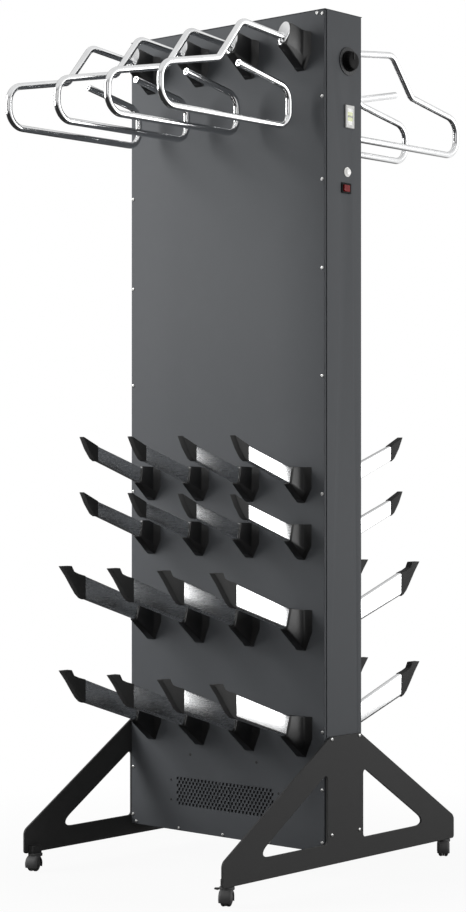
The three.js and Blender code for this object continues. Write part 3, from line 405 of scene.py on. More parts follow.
def prism(bm, outline, half):
    """A solid of this outline in the yz plane, as far to both sides of x = 0. Returns its vertices."""
    ring = [bm.verts.new((-half, y, z)) for y, z in outline]
    face = bm.faces.new(ring)
    grown = bmesh.ops.extrude_face_region(bm, geom=[face])["geom"]
    moved = only(bmesh.types.BMVert, grown)
    bmesh.ops.translate(bm, verts=moved, vec=(2 * half, 0, 0))
    return ring + moved


def box(bm, low, high):
    verts = bmesh.ops.create_cube(bm, size=1.0)["verts"]
    low, high = Vector(low), Vector(high)
    stretch = Matrix.Diagonal((*(high - low), 1))
    bmesh.ops.transform(bm, verts=verts, matrix=Matrix.Translation((low + high) / 2) @ stretch)
    return verts


def block(low, high):
    return lambda bm: box(bm, low, high)


def rod(bm, radius, low, high, centre, across, sides):
    """A round bar across the stand, along x or y; centre gives its two other coordinates."""
    verts = bmesh.ops.create_cone(
        bm, cap_ends=True, segments=sides, radius1=radius, radius2=radius, depth=high - low
    )["verts"]
    middle = (low + high) / 2
    if across == "x":
        matrix = Matrix.Translation((middle, *centre)) @ Matrix.Rotation(math.pi / 2, 4, "Y")
    else:
        matrix = Matrix.Translation((centre[0], middle, centre[1])) @ Matrix.Rotation(-math.pi / 2, 4, "X")
    bmesh.ops.transform(bm, verts=verts, matrix=matrix)
    return verts


def edges_of(verts):
    """The edges between these vertices, each once and always in the same order."""
    chosen = set(verts)
    found = dict.fromkeys(edge for vert in verts for edge in vert.link_edges)
    return [edge for edge in found if all(end in chosen for end in edge.verts)]


def soften(bm, verts, width, segments, angle=25):
    """Rounds the edges between these vertices that bend by more than the angle, in degrees."""
    limit = math.radians(angle)
    sharp = [edge for edge in edges_of(verts) if len(edge.link_faces) == 2 and edge.calc_face_angle() > limit]
    round_edges(bm, sharp, width, segments)


def round_edges(bm, edges, width, segments):
    bmesh.ops.bevel(
        bm,
        geom=edges,
        offset=width,
        offset_type="OFFSET",
        affect="EDGES",
        segments=segments,
        profile=0.5,
        material=-1,
        clamp_overlap=True,
    )


def turned(bm, profile, centre, axis, steps):
    """Spins a profile of (radius, height) about an axis through centre."""
    axis = Vector(axis).normalized()
    side = axis.orthogonal().normalized()
    centre = Vector(centre)
    verts = [bm.verts.new(centre + side * radius + axis * height) for radius, height in profile]
    edges = [bm.edges.new(pair) for pair in zip(verts, verts[1:])]
    bmesh.ops.spin(
        bm, geom=verts + edges, cent=centre, axis=axis, angle=2 * math.pi, steps=steps, use_merge=True
    )


def into(piece, build, *matrices):
    """Adds what build makes in a bmesh of its own, once under each matrix."""
    part = bmesh.new()
    build(part)
    bmesh.ops.remove_doubles(part, verts=part.verts, dist=1e-4)
    bmesh.ops.recalc_face_normals(part, faces=part.faces)
    mesh = bpy.data.meshes.new("part")
    for matrix in matrices or (Matrix(),):
        copy = part.copy()
        bmesh.ops.transform(copy, matrix=matrix, verts=copy.verts)
        copy.to_mesh(mesh)
        copy.free()
        piece.from_mesh(mesh)
    part.free()
    bpy.data.meshes.remove(mesh)


def shift(x, y, z):
    return Matrix.Translation((x, y, z))


def placed(build, *matrices):
    """The same builder, with what it makes put under each matrix."""
    return lambda bm: into(bm, build, *matrices)


def along_columns(z):
    """The places of a row's four holders on the front panel's face, at height z."""
    return [shift(x, -FACE_Y, z) for x in COLUMNS]


def add_piece(name, build, slot, body="cabinet", side="front", replaces=(), smooth=32):
    """Builds a piece, brings it to metres on its side of the stand and puts it on its body.

    Edges that bend by more than smooth degrees are shaded sharp.
    """
    bm = bmesh.new()
    build(bm)
    to_side = Matrix.Scale(MM, 4) @ Matrix.Rotation(SIDES[side], 4, "Z")
    bmesh.ops.transform(bm, matrix=to_side, verts=bm.verts)
    mesh = bpy.data.meshes.new(name)
    bm.to_mesh(mesh)
    bm.free()
    mesh.polygons.foreach_set("use_smooth", [True] * len(mesh.polygons))
    mesh.set_sharp_from_angle(angle=math.radians(smooth))
    mesh.materials.append(FINISHES[slot])
    piece = bpy.data.objects.new(name, mesh)
    bpy.context.scene.collection.objects.link(piece)
    if replaces:
        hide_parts(*replaces)
    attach(piece, body)


# ------------------------------------------------------------------ folded panels
FOLD_R = 1.3
GRILLE_X = (-146.0, 146.0)
GRILLE_Z = (121.0, 184.0)
SLOT_COLUMNS = 56
SLOT_ROWS = 8
SLOT_RIM = 0.6
SLOT_SLANT = 0.9


def flat_grid(bm, xs, zs):
    """A grid on the panel's face with its lines at these places."""
    made = bmesh.ops.create_grid(bm, x_segments=len(xs) - 1, y_segments=len(zs) - 1, size=1.0)
    for vert in made["verts"]:
        column = round((vert.co.x + 1) / 2 * (len(xs) - 1))
        row = round((vert.co.y + 1) / 2 * (len(zs) - 1))
        vert.co = (xs[column], -FACE_Y, zs[row])


def in_window(face, xs, zs):
    middle = face.calc_center_median()
    return xs[0] < middle.x < xs[1] and zs[0] < middle.z < zs[1]


def on_outline(edge):
    middle = (edge.verts[0].co + edge.verts[1].co) / 2
    beside = abs(abs(middle.x) - PANEL_HALF) < 0.1
    return beside or abs(middle.z - PANEL_LOW) < 0.1 or abs(middle.z - PANEL_HIGH) < 0.1


def fold_back(bm):
    """Turns the outer edges of the flat face back towards the cabinet, with a rounded fold."""
    rim = [edge for edge in bm.edges if edge.is_boundary and on_outline(edge)]
    grown = bmesh.ops.extrude_edge_only(bm, edges=rim)["geom"]
    moved = only(bmesh.types.BMVert, grown)
    bmesh.ops.translate(bm, verts=moved, vec=(0, FACE_Y - FLANGE_Y - GAP, 0))
    soften(bm, list(bm.verts), FOLD_R, 3)


def thicken(bm):
    """Gives a sheet its thickness, behind its outer face."""
    bmesh.ops.recalc_face_normals(bm, faces=bm.faces)
    if sum(face.normal.y * face.calc_area() for face in bm.faces) > 0:
        bmesh.ops.reverse_faces(bm, faces=bm.faces)
    bmesh.ops.solidify(bm, geom=bm.faces, thickness=SHEET)


def panel_sheet(with_window):
    """A tray with folded edges; the front one has a window for its grille."""

    def build(bm):
        flat_grid(bm, [-PANEL_HALF, *GRILLE_X, PANEL_HALF], [PANEL_LOW, *GRILLE_Z, PANEL_HIGH])
        if with_window:
            inside = [face for face in bm.faces if in_window(face, GRILLE_X, GRILLE_Z)]
            bmesh.ops.delete(bm, geom=inside, context="FACES")
        fold_back(bm)
        thicken(bm)

    return build


def grille_sheet(bm):
    """Staggered slanted slots punched straight through the panel."""
    left, low = GRILLE_X[0], GRILLE_Z[0]
    width = (GRILLE_X[1] - left) / SLOT_COLUMNS
    height = (GRILLE_Z[1] - low) / SLOT_ROWS
    xs = [left + width * i for i in range(SLOT_COLUMNS + 1)]
    zs = [low + height * i for i in range(SLOT_ROWS + 1)]
    flat_grid(bm, xs, zs)
    slots = []
    for face in bm.faces:
        middle = face.calc_center_median()
        column = int((middle.x - left) / width)
        row = int((middle.z - low) / height)
        if (column + row) % 2 == 0 and 0 < column < SLOT_COLUMNS - 1:
            slots.append(face)
    bmesh.ops.inset_individual(bm, faces=slots, thickness=SLOT_RIM)
    for face in slots:
        middle = face.calc_center_median()
        for vert in face.verts:
            vert.co.x += SLOT_SLANT * (1 if vert.co.z > middle.z else -1)
    bmesh.ops.delete(bm, geom=slots, context="FACES")
    thicken(bm)


def dressed(node, width):
    """A CAD node with its doubles merged and its sharp edges rounded."""

    def build(bm):
        bm.from_mesh(frame["nodes"][node].data)
        bmesh.ops.scale(bm, vec=(1 / MM,) * 3, verts=bm.verts)
        bmesh.ops.remove_doubles(bm, verts=bm.verts, dist=0.01)
        bmesh.ops.dissolve_limit(bm, angle_limit=math.radians(1), verts=bm.verts, edges=bm.edges)
        soften(bm, list(bm.verts), width, 2, 40)

    return build


# ------------------------------------------------------------------ screws and rivets
def screw_head(radius, height):
    """A pan head with a driver recess, pointing along -y from the origin."""

    def build(bm):
        profile = [
            (radius, 0.0),
            (radius, height * 0.35),
            (radius * 0.82, height * 0.8),
            (radius * 0.45, height),
            (radius * 0.35, height * 0.45),
            (0.0, height * 0.4),
        ]
        turned(bm, profile, (0, 0, 0), (0, -1, 0), 12)

    return build


SCREW_X = 275.5
SCREW_SINK = 0.2  # how far a head's seat reaches into the sheet
# heights of the screws along the two edges of a panel, and (x, z) of the other heads
RIGHT_SCREWS = [1818, 1645, 1472, 1286, 1060, 813, 315, 194, 84]
LEFT_SCREWS = [1473, 1270, 1052, 813, 315, 192, 85]
BOTTOM_SCREWS = [(-135, 69), (-4, 69), (130, 69), (-266, 70)]
TOP_SCREWS = [(262, 1821)]
RIVETS = [(-158, 174), (-158, 130), (155, 175), (125, 116)]
# the two holes above the grille, drawn as dark heads: painted shade of the holes
HOLE_SHADE_DOTS = [(-100, 235), (93, 235.5)]
FOOT_SCREWS = [(y, z) for y in (-46.5, 46.5) for z in (99.7, 299.5)]


def on_panel(spots):
    return [shift(x, -FACE_Y + SCREW_SINK, z) for x, z in spots]


def panel_screws(bm):
    spots = [(SCREW_X, z) for z in RIGHT_SCREWS] + [(-SCREW_X, z) for z in LEFT_SCREWS]
    spots += BOTTOM_SCREWS + TOP_SCREWS
    into(bm, screw_head(3.8, 2.0), *on_panel(spots))


def rivets_and_hole_shade(bm):
    into(bm, screw_head(2.6, 1.0), *on_panel(RIVETS))
    # dark heads where the panel has two holes: painted shade standing in for the holes
    into(bm, screw_head(3.4, 0.9), *on_panel(HOLE_SHADE_DOTS))


def foot_screws(bm):
    turn = Matrix.Rotation(math.pi / 2, 4, "Z")
    seat = FOOT_X + FOOT_THICK - SCREW_SINK
    into(bm, screw_head(4.0, 2.2), *[shift(seat, y, z) @ turn for y, z in FOOT_SCREWS])


# ------------------------------------------------------------------ nozzles
# Sections of a nozzle from its outer end to the panel: top and low edge as (out, z), half width
# from the top down to the waist's z, that z, and half width at the low edge. A strip behind the
# panel joins the row, from its low to its high z. The neck runs through the panel: low and high z
# and half width.
STRIP_THICK = 3.0
STRIP_MARGIN = 8.0
SPOUT_R = 3.0
NOZZLES = {
    "hanger": {
        "sections": [
            ((50, 34), (64.5, -14), 13, -8, 12),
            ((13, 22.5), (13, -53), 17, -29, 11),
            ((5, 20.5), (5, -57.5), 23, -27, 11),
            ((0.3, 19), (0.3, -60), 28, -24, 11),
        ],
        "strip": (-54, 14),
        "neck": (-46, 6, 17),
    },
    "glove": {
        "sections": [
            ((38.5, 18.5), (46.5, -19), 10.5, -15, 9.5),
            ((12, 17), (12, -50), 15.5, -33, 10),
            ((5, 17), (5, -55), 22, -31, 10),
            ((0.3, 17), (0.3, -58), 28, -28, 10),
        ],
        "strip": (-50, 14),
        "neck": (-42, 6, 12),
    },
    "boot": {
        "sections": [
            ((46.5, 21.5), (59, -24), 10.5, -19, 9.5),
            ((12, 17), (12, -61), 17, -34, 12),
            ((5, 16.5), (5, -67), 24, -32, 12),
            ((0.3, 16), (0.3, -70), 30, -30, 12),
        ],
        "strip": (-54, 12),
        "neck": (-46, 4, 14),
    },
}


def section_ring(bm, top, low, half, waist, low_half):
    """One six-cornered section, whose waist lies on the line from its top to its low edge."""
    share = (top[1] - waist) / (top[1] - low[1])
    waist_out = top[0] + (low[0] - top[0]) * share
    spots = [(-half, waist_out, waist), (-half, *top), (half, *top), (half, waist_out, waist)]
    spots += [(low_half, *low), (-low_half, *low)]
    verts = [bm.verts.new((x, -out, z)) for x, out, z in spots]
    return [bm.edges.new((verts[i - 1], verts[i])) for i in range(len(verts))]


def nozzle_block(kind):
    """A spout that flares out onto the panel, with its outer end and its long edges rounded."""

    def build(bm):
        rings = [section_ring(bm, *section) for section in NOZZLES[kind]["sections"]]
        for near, far in zip(rings, rings[1:]):
            bmesh.ops.bridge_loops(bm, edges=near + far)
        for ring in (rings[0], rings[-1]):
            bmesh.ops.contextual_create(bm, geom=ring)
        bmesh.ops.recalc_face_normals(bm, faces=bm.faces)
        flare_top = NOZZLES[kind]["sections"][1][0]
        spout = [vert for vert in bm.verts if -vert.co.y > flare_top[0] - 0.1]
        soften(bm, spout, SPOUT_R, 3, 15)

    return build


def nozzle_row(kind, z):
    low, high, half = NOZZLES[kind]["neck"]
    under, over = NOZZLES[kind]["strip"]
    reach = COLUMNS[-1] + half + STRIP_MARGIN
    back = -FACE_Y + SHEET + GAP

    def build(bm):
        into(bm, nozzle_block(kind), *along_columns(z))
        into(bm, block((-half, -1, low), (half, SHEET + 2 * GAP, high)), *along_columns(z))
        into(bm, block((-reach, back, z + under), (reach, back + STRIP_THICK, z + over)))

    return build


# ------------------------------------------------------------------ glove and boot arms
# Places as (out, z) from the row's height: the two long edges of an arm and the outline of its tip.
ARMS = {
    "glove": {
        "top": ((39.5, 15.5), (181, 64)),
        "bottom": ((46, -17), (178, 31)),
        "tip": [(175, 62.6), (219, 82.8), (205, 57), (196, 45), (188, 35), (179, 29.5), (175, 29)],
        "low_edge_r": 2.5,
    },
    "boot": {
        "top": ((48, 21), (217, 81)),
        "bottom": ((57, -22), (215, 30)),
        "tip": [
            (213, 80.2), (233, 85.5), (247, 91), (254.5, 103.5), (281.5, 103.5),
            (262, 80.5), (245, 57), (233, 41.5), (222, 32), (213, 28.5),
        ],
        "low_edge_r": 6.0,
    },
}
ARM_HALF = 7.0
TOP_EDGE_R = 2.5
ARM_ROOT = 5.0  # how far behind the panel's face an arm ends
RAIL_THICK = 3.0
TIP_HALF = 7.8
TIP_EDGE = 1.3


def edge_height(line, out):
    """The height of an arm's long edge at this distance from the panel's face."""
    (out0, z0), (out1, z1) = line
    return z0 + (out - out0) * (z1 - z0) / (out1 - out0)


def lengthwise(bm, line):
    """The long edges of an arm that lie on this line."""
    chosen = [vert for vert in bm.verts if abs(vert.co.z - edge_height(line, -vert.co.y)) < 0.1]
    return [edge for edge in edges_of(chosen) if edge.calc_length() > 50]


def arm_bar(kind):
    """A flat aluminium section with rounded edges."""
    arm = ARMS[kind]

    def build(bm):
        top, bottom = arm["top"], arm["bottom"]
        outline = [
            (ARM_ROOT, edge_height(bottom, -ARM_ROOT)),
            (ARM_ROOT, edge_height(top, -ARM_ROOT)),
            (-top[1][0], top[1][1]),
            (-bottom[1][0], bottom[1][1]),
        ]
        prism(bm, outline, ARM_HALF)
        round_edges(bm, lengthwise(bm, top), TOP_EDGE_R, 4)
        round_edges(bm, lengthwise(bm, bottom), arm["low_edge_r"], 6)

    return build


def arm_tip(kind):
    outline = [(-out, z) for out, z in ARMS[kind]["tip"]]
    return lambda bm: soften(bm, prism(bm, outline, TIP_HALF), TIP_EDGE, 3)


def arm_row(kind, z):
    """Four arms on a rail that lies behind the strip of their nozzles."""
    low = edge_height(ARMS[kind]["bottom"], -ARM_ROOT)
    high = edge_height(ARMS[kind]["top"], -ARM_ROOT)
    reach = COLUMNS[-1] + 2 * ARM_HALF
    back = -FACE_Y + SHEET + GAP + STRIP_THICK + GAP

    def build(bm):
        into(bm, arm_bar(kind), *along_columns(z))
        into(bm, block((-reach, back, z + low), (reach, back + RAIL_THICK, z + high)))

    return build


# ------------------------------------------------------------------ garment hangers
TUBE_R = 7.2
BEND_STEP = 8  # in degrees
# corners of the tube as (out, z, radius of the bend)
HANGER_ROUTE = [
    (44, 1, 0), (190, 17, 26), (260, -68, 18), (431, -100, 38),
    (431, -182, 38), (41, -182, 30), (41, -102, 34), (200, -70, 0),
]
TUBE_TILT = -math.atan2(16, 146)  # of the route's first run
END_ROUND = 0.5
WALL = 1.2
BORE_DEPTH = 9.0
COLLAR_SEAT = (60.5, 2.8)  # as (out, z)
ROSE_TILT = -math.atan2(14.5, 48)  # of the hanger nozzle's outer face
ROSE_SEAT = (57.1, 10.5)
ROSE_HALF_WIDTH = 16.0
ROSE_HALF_HEIGHT = 27.5
ROSE_THICK = 3.0
CLAMP_DROP = 18.5


def pull(bm, edges, vector):
    """Draws a ring of edges out along a vector. Returns the new ring."""
    grown = bmesh.ops.extrude_edge_only(bm, edges=edges)["geom"]
    bmesh.ops.translate(bm, verts=only(bmesh.types.BMVert, grown), vec=vector)
    return only(bmesh.types.BMEdge, grown)


def bent_tube(bm):
    """Straight runs pulled out and bends spun, one after the other, in the plane x = 0."""
    points = [Vector((0, -out, z)) for out, z, _ in HANGER_ROUTE]
    run = (points[1] - points[0]).normalized()
    facing = run.to_track_quat("Z", "X").to_matrix().to_4x4()
    ring = bmesh.ops.create_circle(bm, cap_ends=False, segments=24, radius=TUBE_R)["verts"]
    bmesh.ops.transform(bm, verts=ring, matrix=Matrix.Translation(points[0]) @ facing)
    edges = edges_of(ring)
    here = points[0]
    for before, corner, after, (_, _, radius) in zip(points, points[1:], points[2:], HANGER_ROUTE[1:]):
        into_bend = (corner - before).normalized()
        away = (after - corner).normalized()
        bend = into_bend.angle(away)
        reach = radius * math.tan(bend / 2)
        enter = corner - into_bend * reach
        edges = pull(bm, edges, enter - here)
        axis = into_bend.cross(away).normalized()
        centre = enter + axis.cross(into_bend) * radius
        steps = max(3, math.ceil(math.degrees(bend) / BEND_STEP))
        spun = bmesh.ops.spin(bm, geom=edges, cent=centre, axis=axis, angle=bend, steps=steps)
        edges = only(bmesh.types.BMEdge, spun["geom_last"])
        here = corner + away * reach
    edges = pull(bm, edges, points[-1] - here)
    end = bmesh.ops.contextual_create(bm, geom=edges)["faces"]
    bmesh.ops.inset_region(bm, faces=end, thickness=END_ROUND, depth=0.4)
    bmesh.ops.inset_region(bm, faces=end, thickness=WALL, depth=0.0)
    bore = bmesh.ops.extrude_face_region(bm, geom=end)["geom"]
    bmesh.ops.delete(bm, geom=end, context="FACES")
    last = (points[-1] - points[-2]).normalized()
    bmesh.ops.translate(bm, verts=only(bmesh.types.BMVert, bore), vec=last * -BORE_DEPTH)


def rose(bm):
    """Drop-shaped plate over the tube's entry, in the plane of the nozzle's slanting face."""
    verts = rod(bm, 1.0, 0.0, ROSE_THICK, (0, 0), "y", 48)
    bmesh.ops.scale(bm, vec=(ROSE_HALF_WIDTH, 1, ROSE_HALF_HEIGHT), verts=verts)
    for vert in verts:
        vert.co.x *= 1 - 0.3 * max(0.0, -vert.co.z / ROSE_HALF_HEIGHT)
    outer = [vert for vert in verts if vert.co.y < ROSE_THICK / 2]
    bmesh.ops.scale(bm, vec=(0.92, 1, 0.95), verts=outer)
    soften(bm, verts, 0.9, 3, 40)


def collar(bm):
    profile = [(TUBE_R + 0.1, 0), (TUBE_R + 2.2, 0.2), (TUBE_R + 2.2, 4.5), (TUBE_R + 0.1, 6.0)]
    turned(bm, profile, (0, 0, 0), (0, -1, 0), 32)


def clamp_screw(bm):
    """Round-headed screw that holds the rose, below the tube."""
    turned(bm, [(0, 0), (5.0, 0), (5.0, 2.2), (4.3, 3.9), (2.5, 4.9), (0, 5.1)], (0, 0, 0), (0, -1, 0), 24)


def seated(spot, tilt):
    """A place on the nozzle at this (out, z), tilted about x."""
    return shift(0, -spot[0], spot[1]) @ Matrix.Rotation(tilt, 4, "X")


def hanger(x):
    place = shift(x, -FACE_Y, HANGER_Z)
    rose_front = place @ shift(0, -GAP, 0) @ seated(ROSE_SEAT, ROSE_TILT) @ shift(0, -ROSE_THICK, 0)

    def build(bm):
        into(bm, bent_tube, place)
        into(bm, rose, rose_front)
        into(bm, clamp_screw, rose_front @ shift(0, SCREW_SINK, -CLAMP_DROP))
        into(bm, collar, place @ seated(COLLAR_SEAT, TUBE_TILT))

    return build


# ------------------------------------------------------------------ foot plates and castors
# corners as (y, z, radius)
FOOT_OUTER = [(-388, 38, 6), (388, 38, 6), (388, 88, 16), (50, 305, 4), (-50, 305, 4), (-388, 88, 16)]
FOOT_HOLE = [(60, 82, 8), (60, 230.9, 8), (291.9, 82, 14)]
STEM = (276.8, 363.0)  # x and y of a castor's swivel
BOSS_X = 270.3
BOSS_HALF = 13.0
BOSS_Z = (38.0, 54.0)


def corner_reach(loop, i):
    """How far from a corner its arc begins."""
    here, before, after = (Vector(loop[j % len(loop)][:2]) for j in (i, i - 1, i + 1))
    return loop[i][2] / math.tan((before - here).angle(after - here) / 2)


def rounded_loop(bm, loop):
    """Adds a closed outline with rounded corners in the yz plane. Returns its edges."""
    verts = [bm.verts.new((FOOT_X, y, z)) for y, z, _ in loop]
    bm.faces.new(verts)
    known = set(bm.verts) - set(verts)
    for i, vert in enumerate(verts):
        bmesh.ops.bevel(
            bm,
            geom=[vert],
            offset=corner_reach(loop, i),
            offset_type="OFFSET",
            affect="VERTICES",
            segments=8,
            profile=0.5,
            material=-1,
        )
    edges = edges_of([vert for vert in bm.verts if vert not in known])
    faces = dict.fromkeys(face for edge in edges for face in edge.link_faces)
    bmesh.ops.delete(bm, geom=list(faces), context="FACES_ONLY")
    return edges


def plate(bm):
    edges = rounded_loop(bm, FOOT_OUTER) + rounded_loop(bm, FOOT_HOLE)
    edges += rounded_loop(bm, [(-y, z, radius) for y, z, radius in reversed(FOOT_HOLE)])
    bmesh.ops.triangle_fill(bm, use_beauty=True, use_dissolve=False, edges=edges)
    bmesh.ops.dissolve_limit(bm, angle_limit=math.radians(1), verts=bm.verts, edges=bm.edges)
    grown = bmesh.ops.extrude_face_region(bm, geom=bm.faces)["geom"]
    bmesh.ops.translate(bm, verts=only(bmesh.types.BMVert, grown), vec=(FOOT_THICK, 0, 0))
    soften(bm, list(bm.verts), 0.7, 2, 40)


def castor_boss(bm):
    """Block on the inside of the plate that takes a castor's stem, with its weld bead on top."""
    low, high = BOSS_Z
    soften(bm, box(bm, (BOSS_X, -BOSS_HALF, low), (FOOT_X, BOSS_HALF, high)), 1.2, 2)
    rod(bm, 1.6, 1 - BOSS_HALF, BOSS_HALF - 1, (FOOT_X - 0.2, high + 0.2), "y", 12)


def foot_plate(bm):
    into(bm, plate)
    into(bm, castor_boss, shift(0, -STEM[1], 0), shift(0, STEM[1], 0))


WHEEL_R = 16.0
TRAIL = 8.0
HOOD_R = 18.35
HOOD_LOW = 9.0
LEVER_HALF = 4.4
LEVER_RIBS = (20.5, 23.0)
# cross-section of the hood's wall as (radius about the axle, distance along it)
HOOD_SIDE = [(HOOD_R, 8.0), (17.9, 10.2), (16.7, 12.3), (14.5, 13.9), (13.2, 13.9), (15.4, 12.0), (17.0, 8.0)]


def hood(bm):
    """Arched cover over both wheels, with rounded shoulders and open ends."""
    centre = Vector((-TRAIL, 0, WHEEL_R))
    profile = HOOD_SIDE + [(radius, -y) for radius, y in reversed(HOOD_SIDE)]
    verts = [bm.verts.new(centre + Vector((radius, y, 0))) for radius, y in profile]
    edges = [bm.edges.new((verts[i - 1], verts[i])) for i in range(len(verts))]
    bmesh.ops.spin(
        bm, geom=verts + edges, cent=centre, axis=(0, 1, 0), angle=2 * math.pi, steps=40, use_merge=True
    )
    cut_below_hood(bm)


def cut_below_hood(bm):
    """Cuts off what is lower than a hood and closes the cut."""
    everything = [*bm.verts, *bm.edges, *bm.faces]
    lower = (0, 0, HOOD_LOW)
    cut = bmesh.ops.bisect_plane(bm, geom=everything, plane_co=lower, plane_no=(0, 0, -1), clear_outer=True)
    bmesh.ops.edgeloop_fill(bm, edges=only(bmesh.types.BMEdge, cut["geom_cut"]))


def hub_disc(bm):
    """Full disc between the wheels, round their axle."""
    rod(bm, 15.2, -2.3, 2.3, (-TRAIL, WHEEL_R), "y", 32)


def hood_web(bm):
    """Wall between the wheels that carries their axle."""
    rod(bm, 17.4, -2.5, 2.5, (-TRAIL, WHEEL_R), "y", 40)
    cut_below_hood(bm)


def swivel(bm):
    profile = [
        (0, 17), (11, 17), (11, 31.4), (14.6, 31.7), (15.5, 32.5), (15.5, 34.4), (15.0, 34.7), (15.0, 35.1),
        (15.5, 35.4), (15.5, 36.9), (14.8, 37.7), (0, 37.7),
    ]
    turned(bm, profile, (0, 0, 0), (0, 0, 1), 36)


def stem(bm):
    turned(bm, [(0, 37.5), (4, 37.5), (4, 51.1), (3.4, 51.7), (0, 51.7)], (0, 0, 0), (0, 0, 1), 16)


def wheels(bm):
    """Two wheels on one axle, with a short tread and a domed cap."""
    half = [
        (3.0, 0.0), (3.0, 2.8), (15.0, 2.8), (15.7, 3.1), (16.0, 3.8), (16.0, 6.5), (15.7, 7.7), (14.9, 8.8),
        (13.4, 9.9), (11.9, 10.6), (11.6, 10.3), (11.2, 10.3), (10.9, 10.9), (8.5, 12.0), (5.0, 13.2),
        (2.5, 13.7), (0.0, 13.8),
    ]
    for sign in (1, -1):
        turned(bm, [(radius, sign * y) for radius, y in half], (-TRAIL, 0, WHEEL_R), (0, 1, 0), 36)


def lever(bm):
    """Brake pedal beside the swivel, with two ribs on top."""
    outline = [
        (15.9, 32.6), (16.5, 31.4), (17.4, 31.0), (21.5, 31.6), (25.0, 32.4), (25.4, 33.6), (25.1, 34.8),
        (17.4, 35.0), (16.4, 34.8), (15.9, 34.0),
    ]
    soften(bm, prism(bm, outline, LEVER_HALF), 0.5, 2, 40)
    for y in LEVER_RIBS:
        soften(bm, box(bm, (-3, y - 0.4, 34.6), (3, y + 0.4, 35.1)), 0.15, 1)


# side along x, side along y, heading in degrees, and whether it has a brake
CASTORS = {
    "front_right": (1, -1, -58, True),
    "front_left": (-1, -1, -68, False),
    "rear_right": (1, 1, -53, False),
    "rear_left": (-1, 1, -60, True),
}


def castor_body(place):
    """All of a castor but its wheels and its lever."""

    def build(bm):
        for part in (hood, hood_web, hub_disc, swivel, stem):
            into(bm, part, place)

    return build


def build_castors():
    for corner, (sign_x, sign_y, heading, braked) in CASTORS.items():
        turn = Matrix.Rotation(math.radians(heading + 180), 4, "Z")
        place = shift(sign_x * STEM[0], sign_y * STEM[1], 0) @ turn
        add_piece(
            f"hood_{corner}",
            castor_body(place),
            "castor_plastic",
            f"castor_{corner}",
            replaces=[f"castor_hood_{corner}"],
        )
        add_piece(
            f"twin_wheels_{corner}",
            placed(wheels, place),
            "wheel_rubber",
            f"wheels_{corner}",
            replaces=[f"castor_wheels_{corner}"],
        )
        if braked:
            add_piece(
                f"brake_pedal_{corner}",
                placed(lever, place),
                "castor_plastic",
                f"brake_{corner}",
                replaces=[f"brake_lever_{corner}"],
            )


# ------------------------------------------------------------------ controls
KNOB_SEAT_X = SIDE_X + 2.1
LAMP_SEAT_X = SIDE_X + 0.2
FLUTES = 18
FLUTE_DEPTH = 0.045  # as a share of the radius


def knob_body(bm):
    """Fluted skirt and tapering grip, pointing along +x from its seat, on a shaft behind it."""
    profile = [
        (0, 0), (22, 0), (22, 2.4), (21.6, 3.2), (21.2, 3.6),
        (19.6, 10.5), (18.4, 12.8), (16.2, 14.0), (0, 14.0),
    ]
    turned(bm, profile, (0, 0, 0), (1, 0, 0), 72)
    for vert in bm.verts:
        angle = math.atan2(vert.co.z, vert.co.y)
        radius = math.hypot(vert.co.y, vert.co.z)
        if 3.4 < vert.co.x < 13.5 and radius > 15:
            shrink = 1 - FLUTE_DEPTH * (0.5 + 0.5 * math.cos(angle * FLUTES))
            vert.co.y *= shrink
            vert.co.z *= shrink
    rod(bm, 3.0, -17.1, 1.0, (0, 0), "x", 20)


def knob_pointer(bm):
    soften(bm, box(bm, (12.8, -1.8, 2), (15.3, 1.8, 16.2)), 0.5, 2)


def lamp(bm):
    profile = [
        (0, -23.5), (7, -23.5), (7, 0.1), (10, 0.1), (10, 1.5), (9.4, 2.1), (8.7, 2.1), (8.4, 1.5),
        (8.2, 3.4), (7.2, 5.0), (5.2, 5.9), (2.6, 6.2), (0, 6.3),
    ]
    turned(bm, profile, (LAMP_SEAT_X, *LAMP_PLACE), (1, 0, 0), 36)


def build_controls():
    seat = shift(KNOB_SEAT_X, *TIMER_PLACE)
    add_piece("knob_grip", placed(knob_body, seat), "black_plastic", "timer_knob", replaces=["timer_knob"])
    add_piece("knob_pointer", placed(knob_pointer, seat), "tip_plastic", "timer_knob")
    add_piece("meter_bezel", dressed("meter_housing", 0.8), "white_plastic", replaces=["meter_housing"])
    add_piece("lamp_lens", lamp, "lamp_white", replaces=["pilot_lamp"])
    add_piece("rocker_bezel", dressed("rocker_frame", 0.6), "black_plastic", replaces=["rocker_frame"])
    add_piece("rocker_key", dressed("rocker_button", 0.5), "rocker_red", "rocker", replaces=["rocker_button"])
    add_piece("dial_ring", dressed("dial_plate", 0.3), "dial_aluminium", replaces=["dial_plate"])


# ------------------------------------------------------------------ the stand
def build_cabinet():
    add_piece("front_sheet", panel_sheet(True), "cabinet_paint", replaces=["front_panel"])
    add_piece("front_grille", grille_sheet, "cabinet_paint")
    add_piece("rear_sheet", panel_sheet(False), "cabinet_paint", side="rear", replaces=["rear_panel"])
    for node in ("right_side_cover", "left_side_cover", "top_cover"):
        add_piece(f"{node}_folded", dressed(node, 0.6), "cabinet_paint", replaces=[node], smooth=20)
    for side in SIDES:
        add_piece(f"panel_screws_{side}", panel_screws, "zinc", side=side)
    add_piece("rivets_and_hole_shade", rivets_and_hole_shade, "foot_paint")
    for end, side in FOOT_ENDS.items():
        add_piece(
            f"foot_{end}",
            foot_plate,
            "foot_paint",
            side=side,
            replaces=[f"foot_plate_{end}"],
            smooth=20,
        )
    for end, side in FOOT_ENDS.items():
        add_piece(f"foot_screws_{end}", foot_screws, "zinc", side=side)


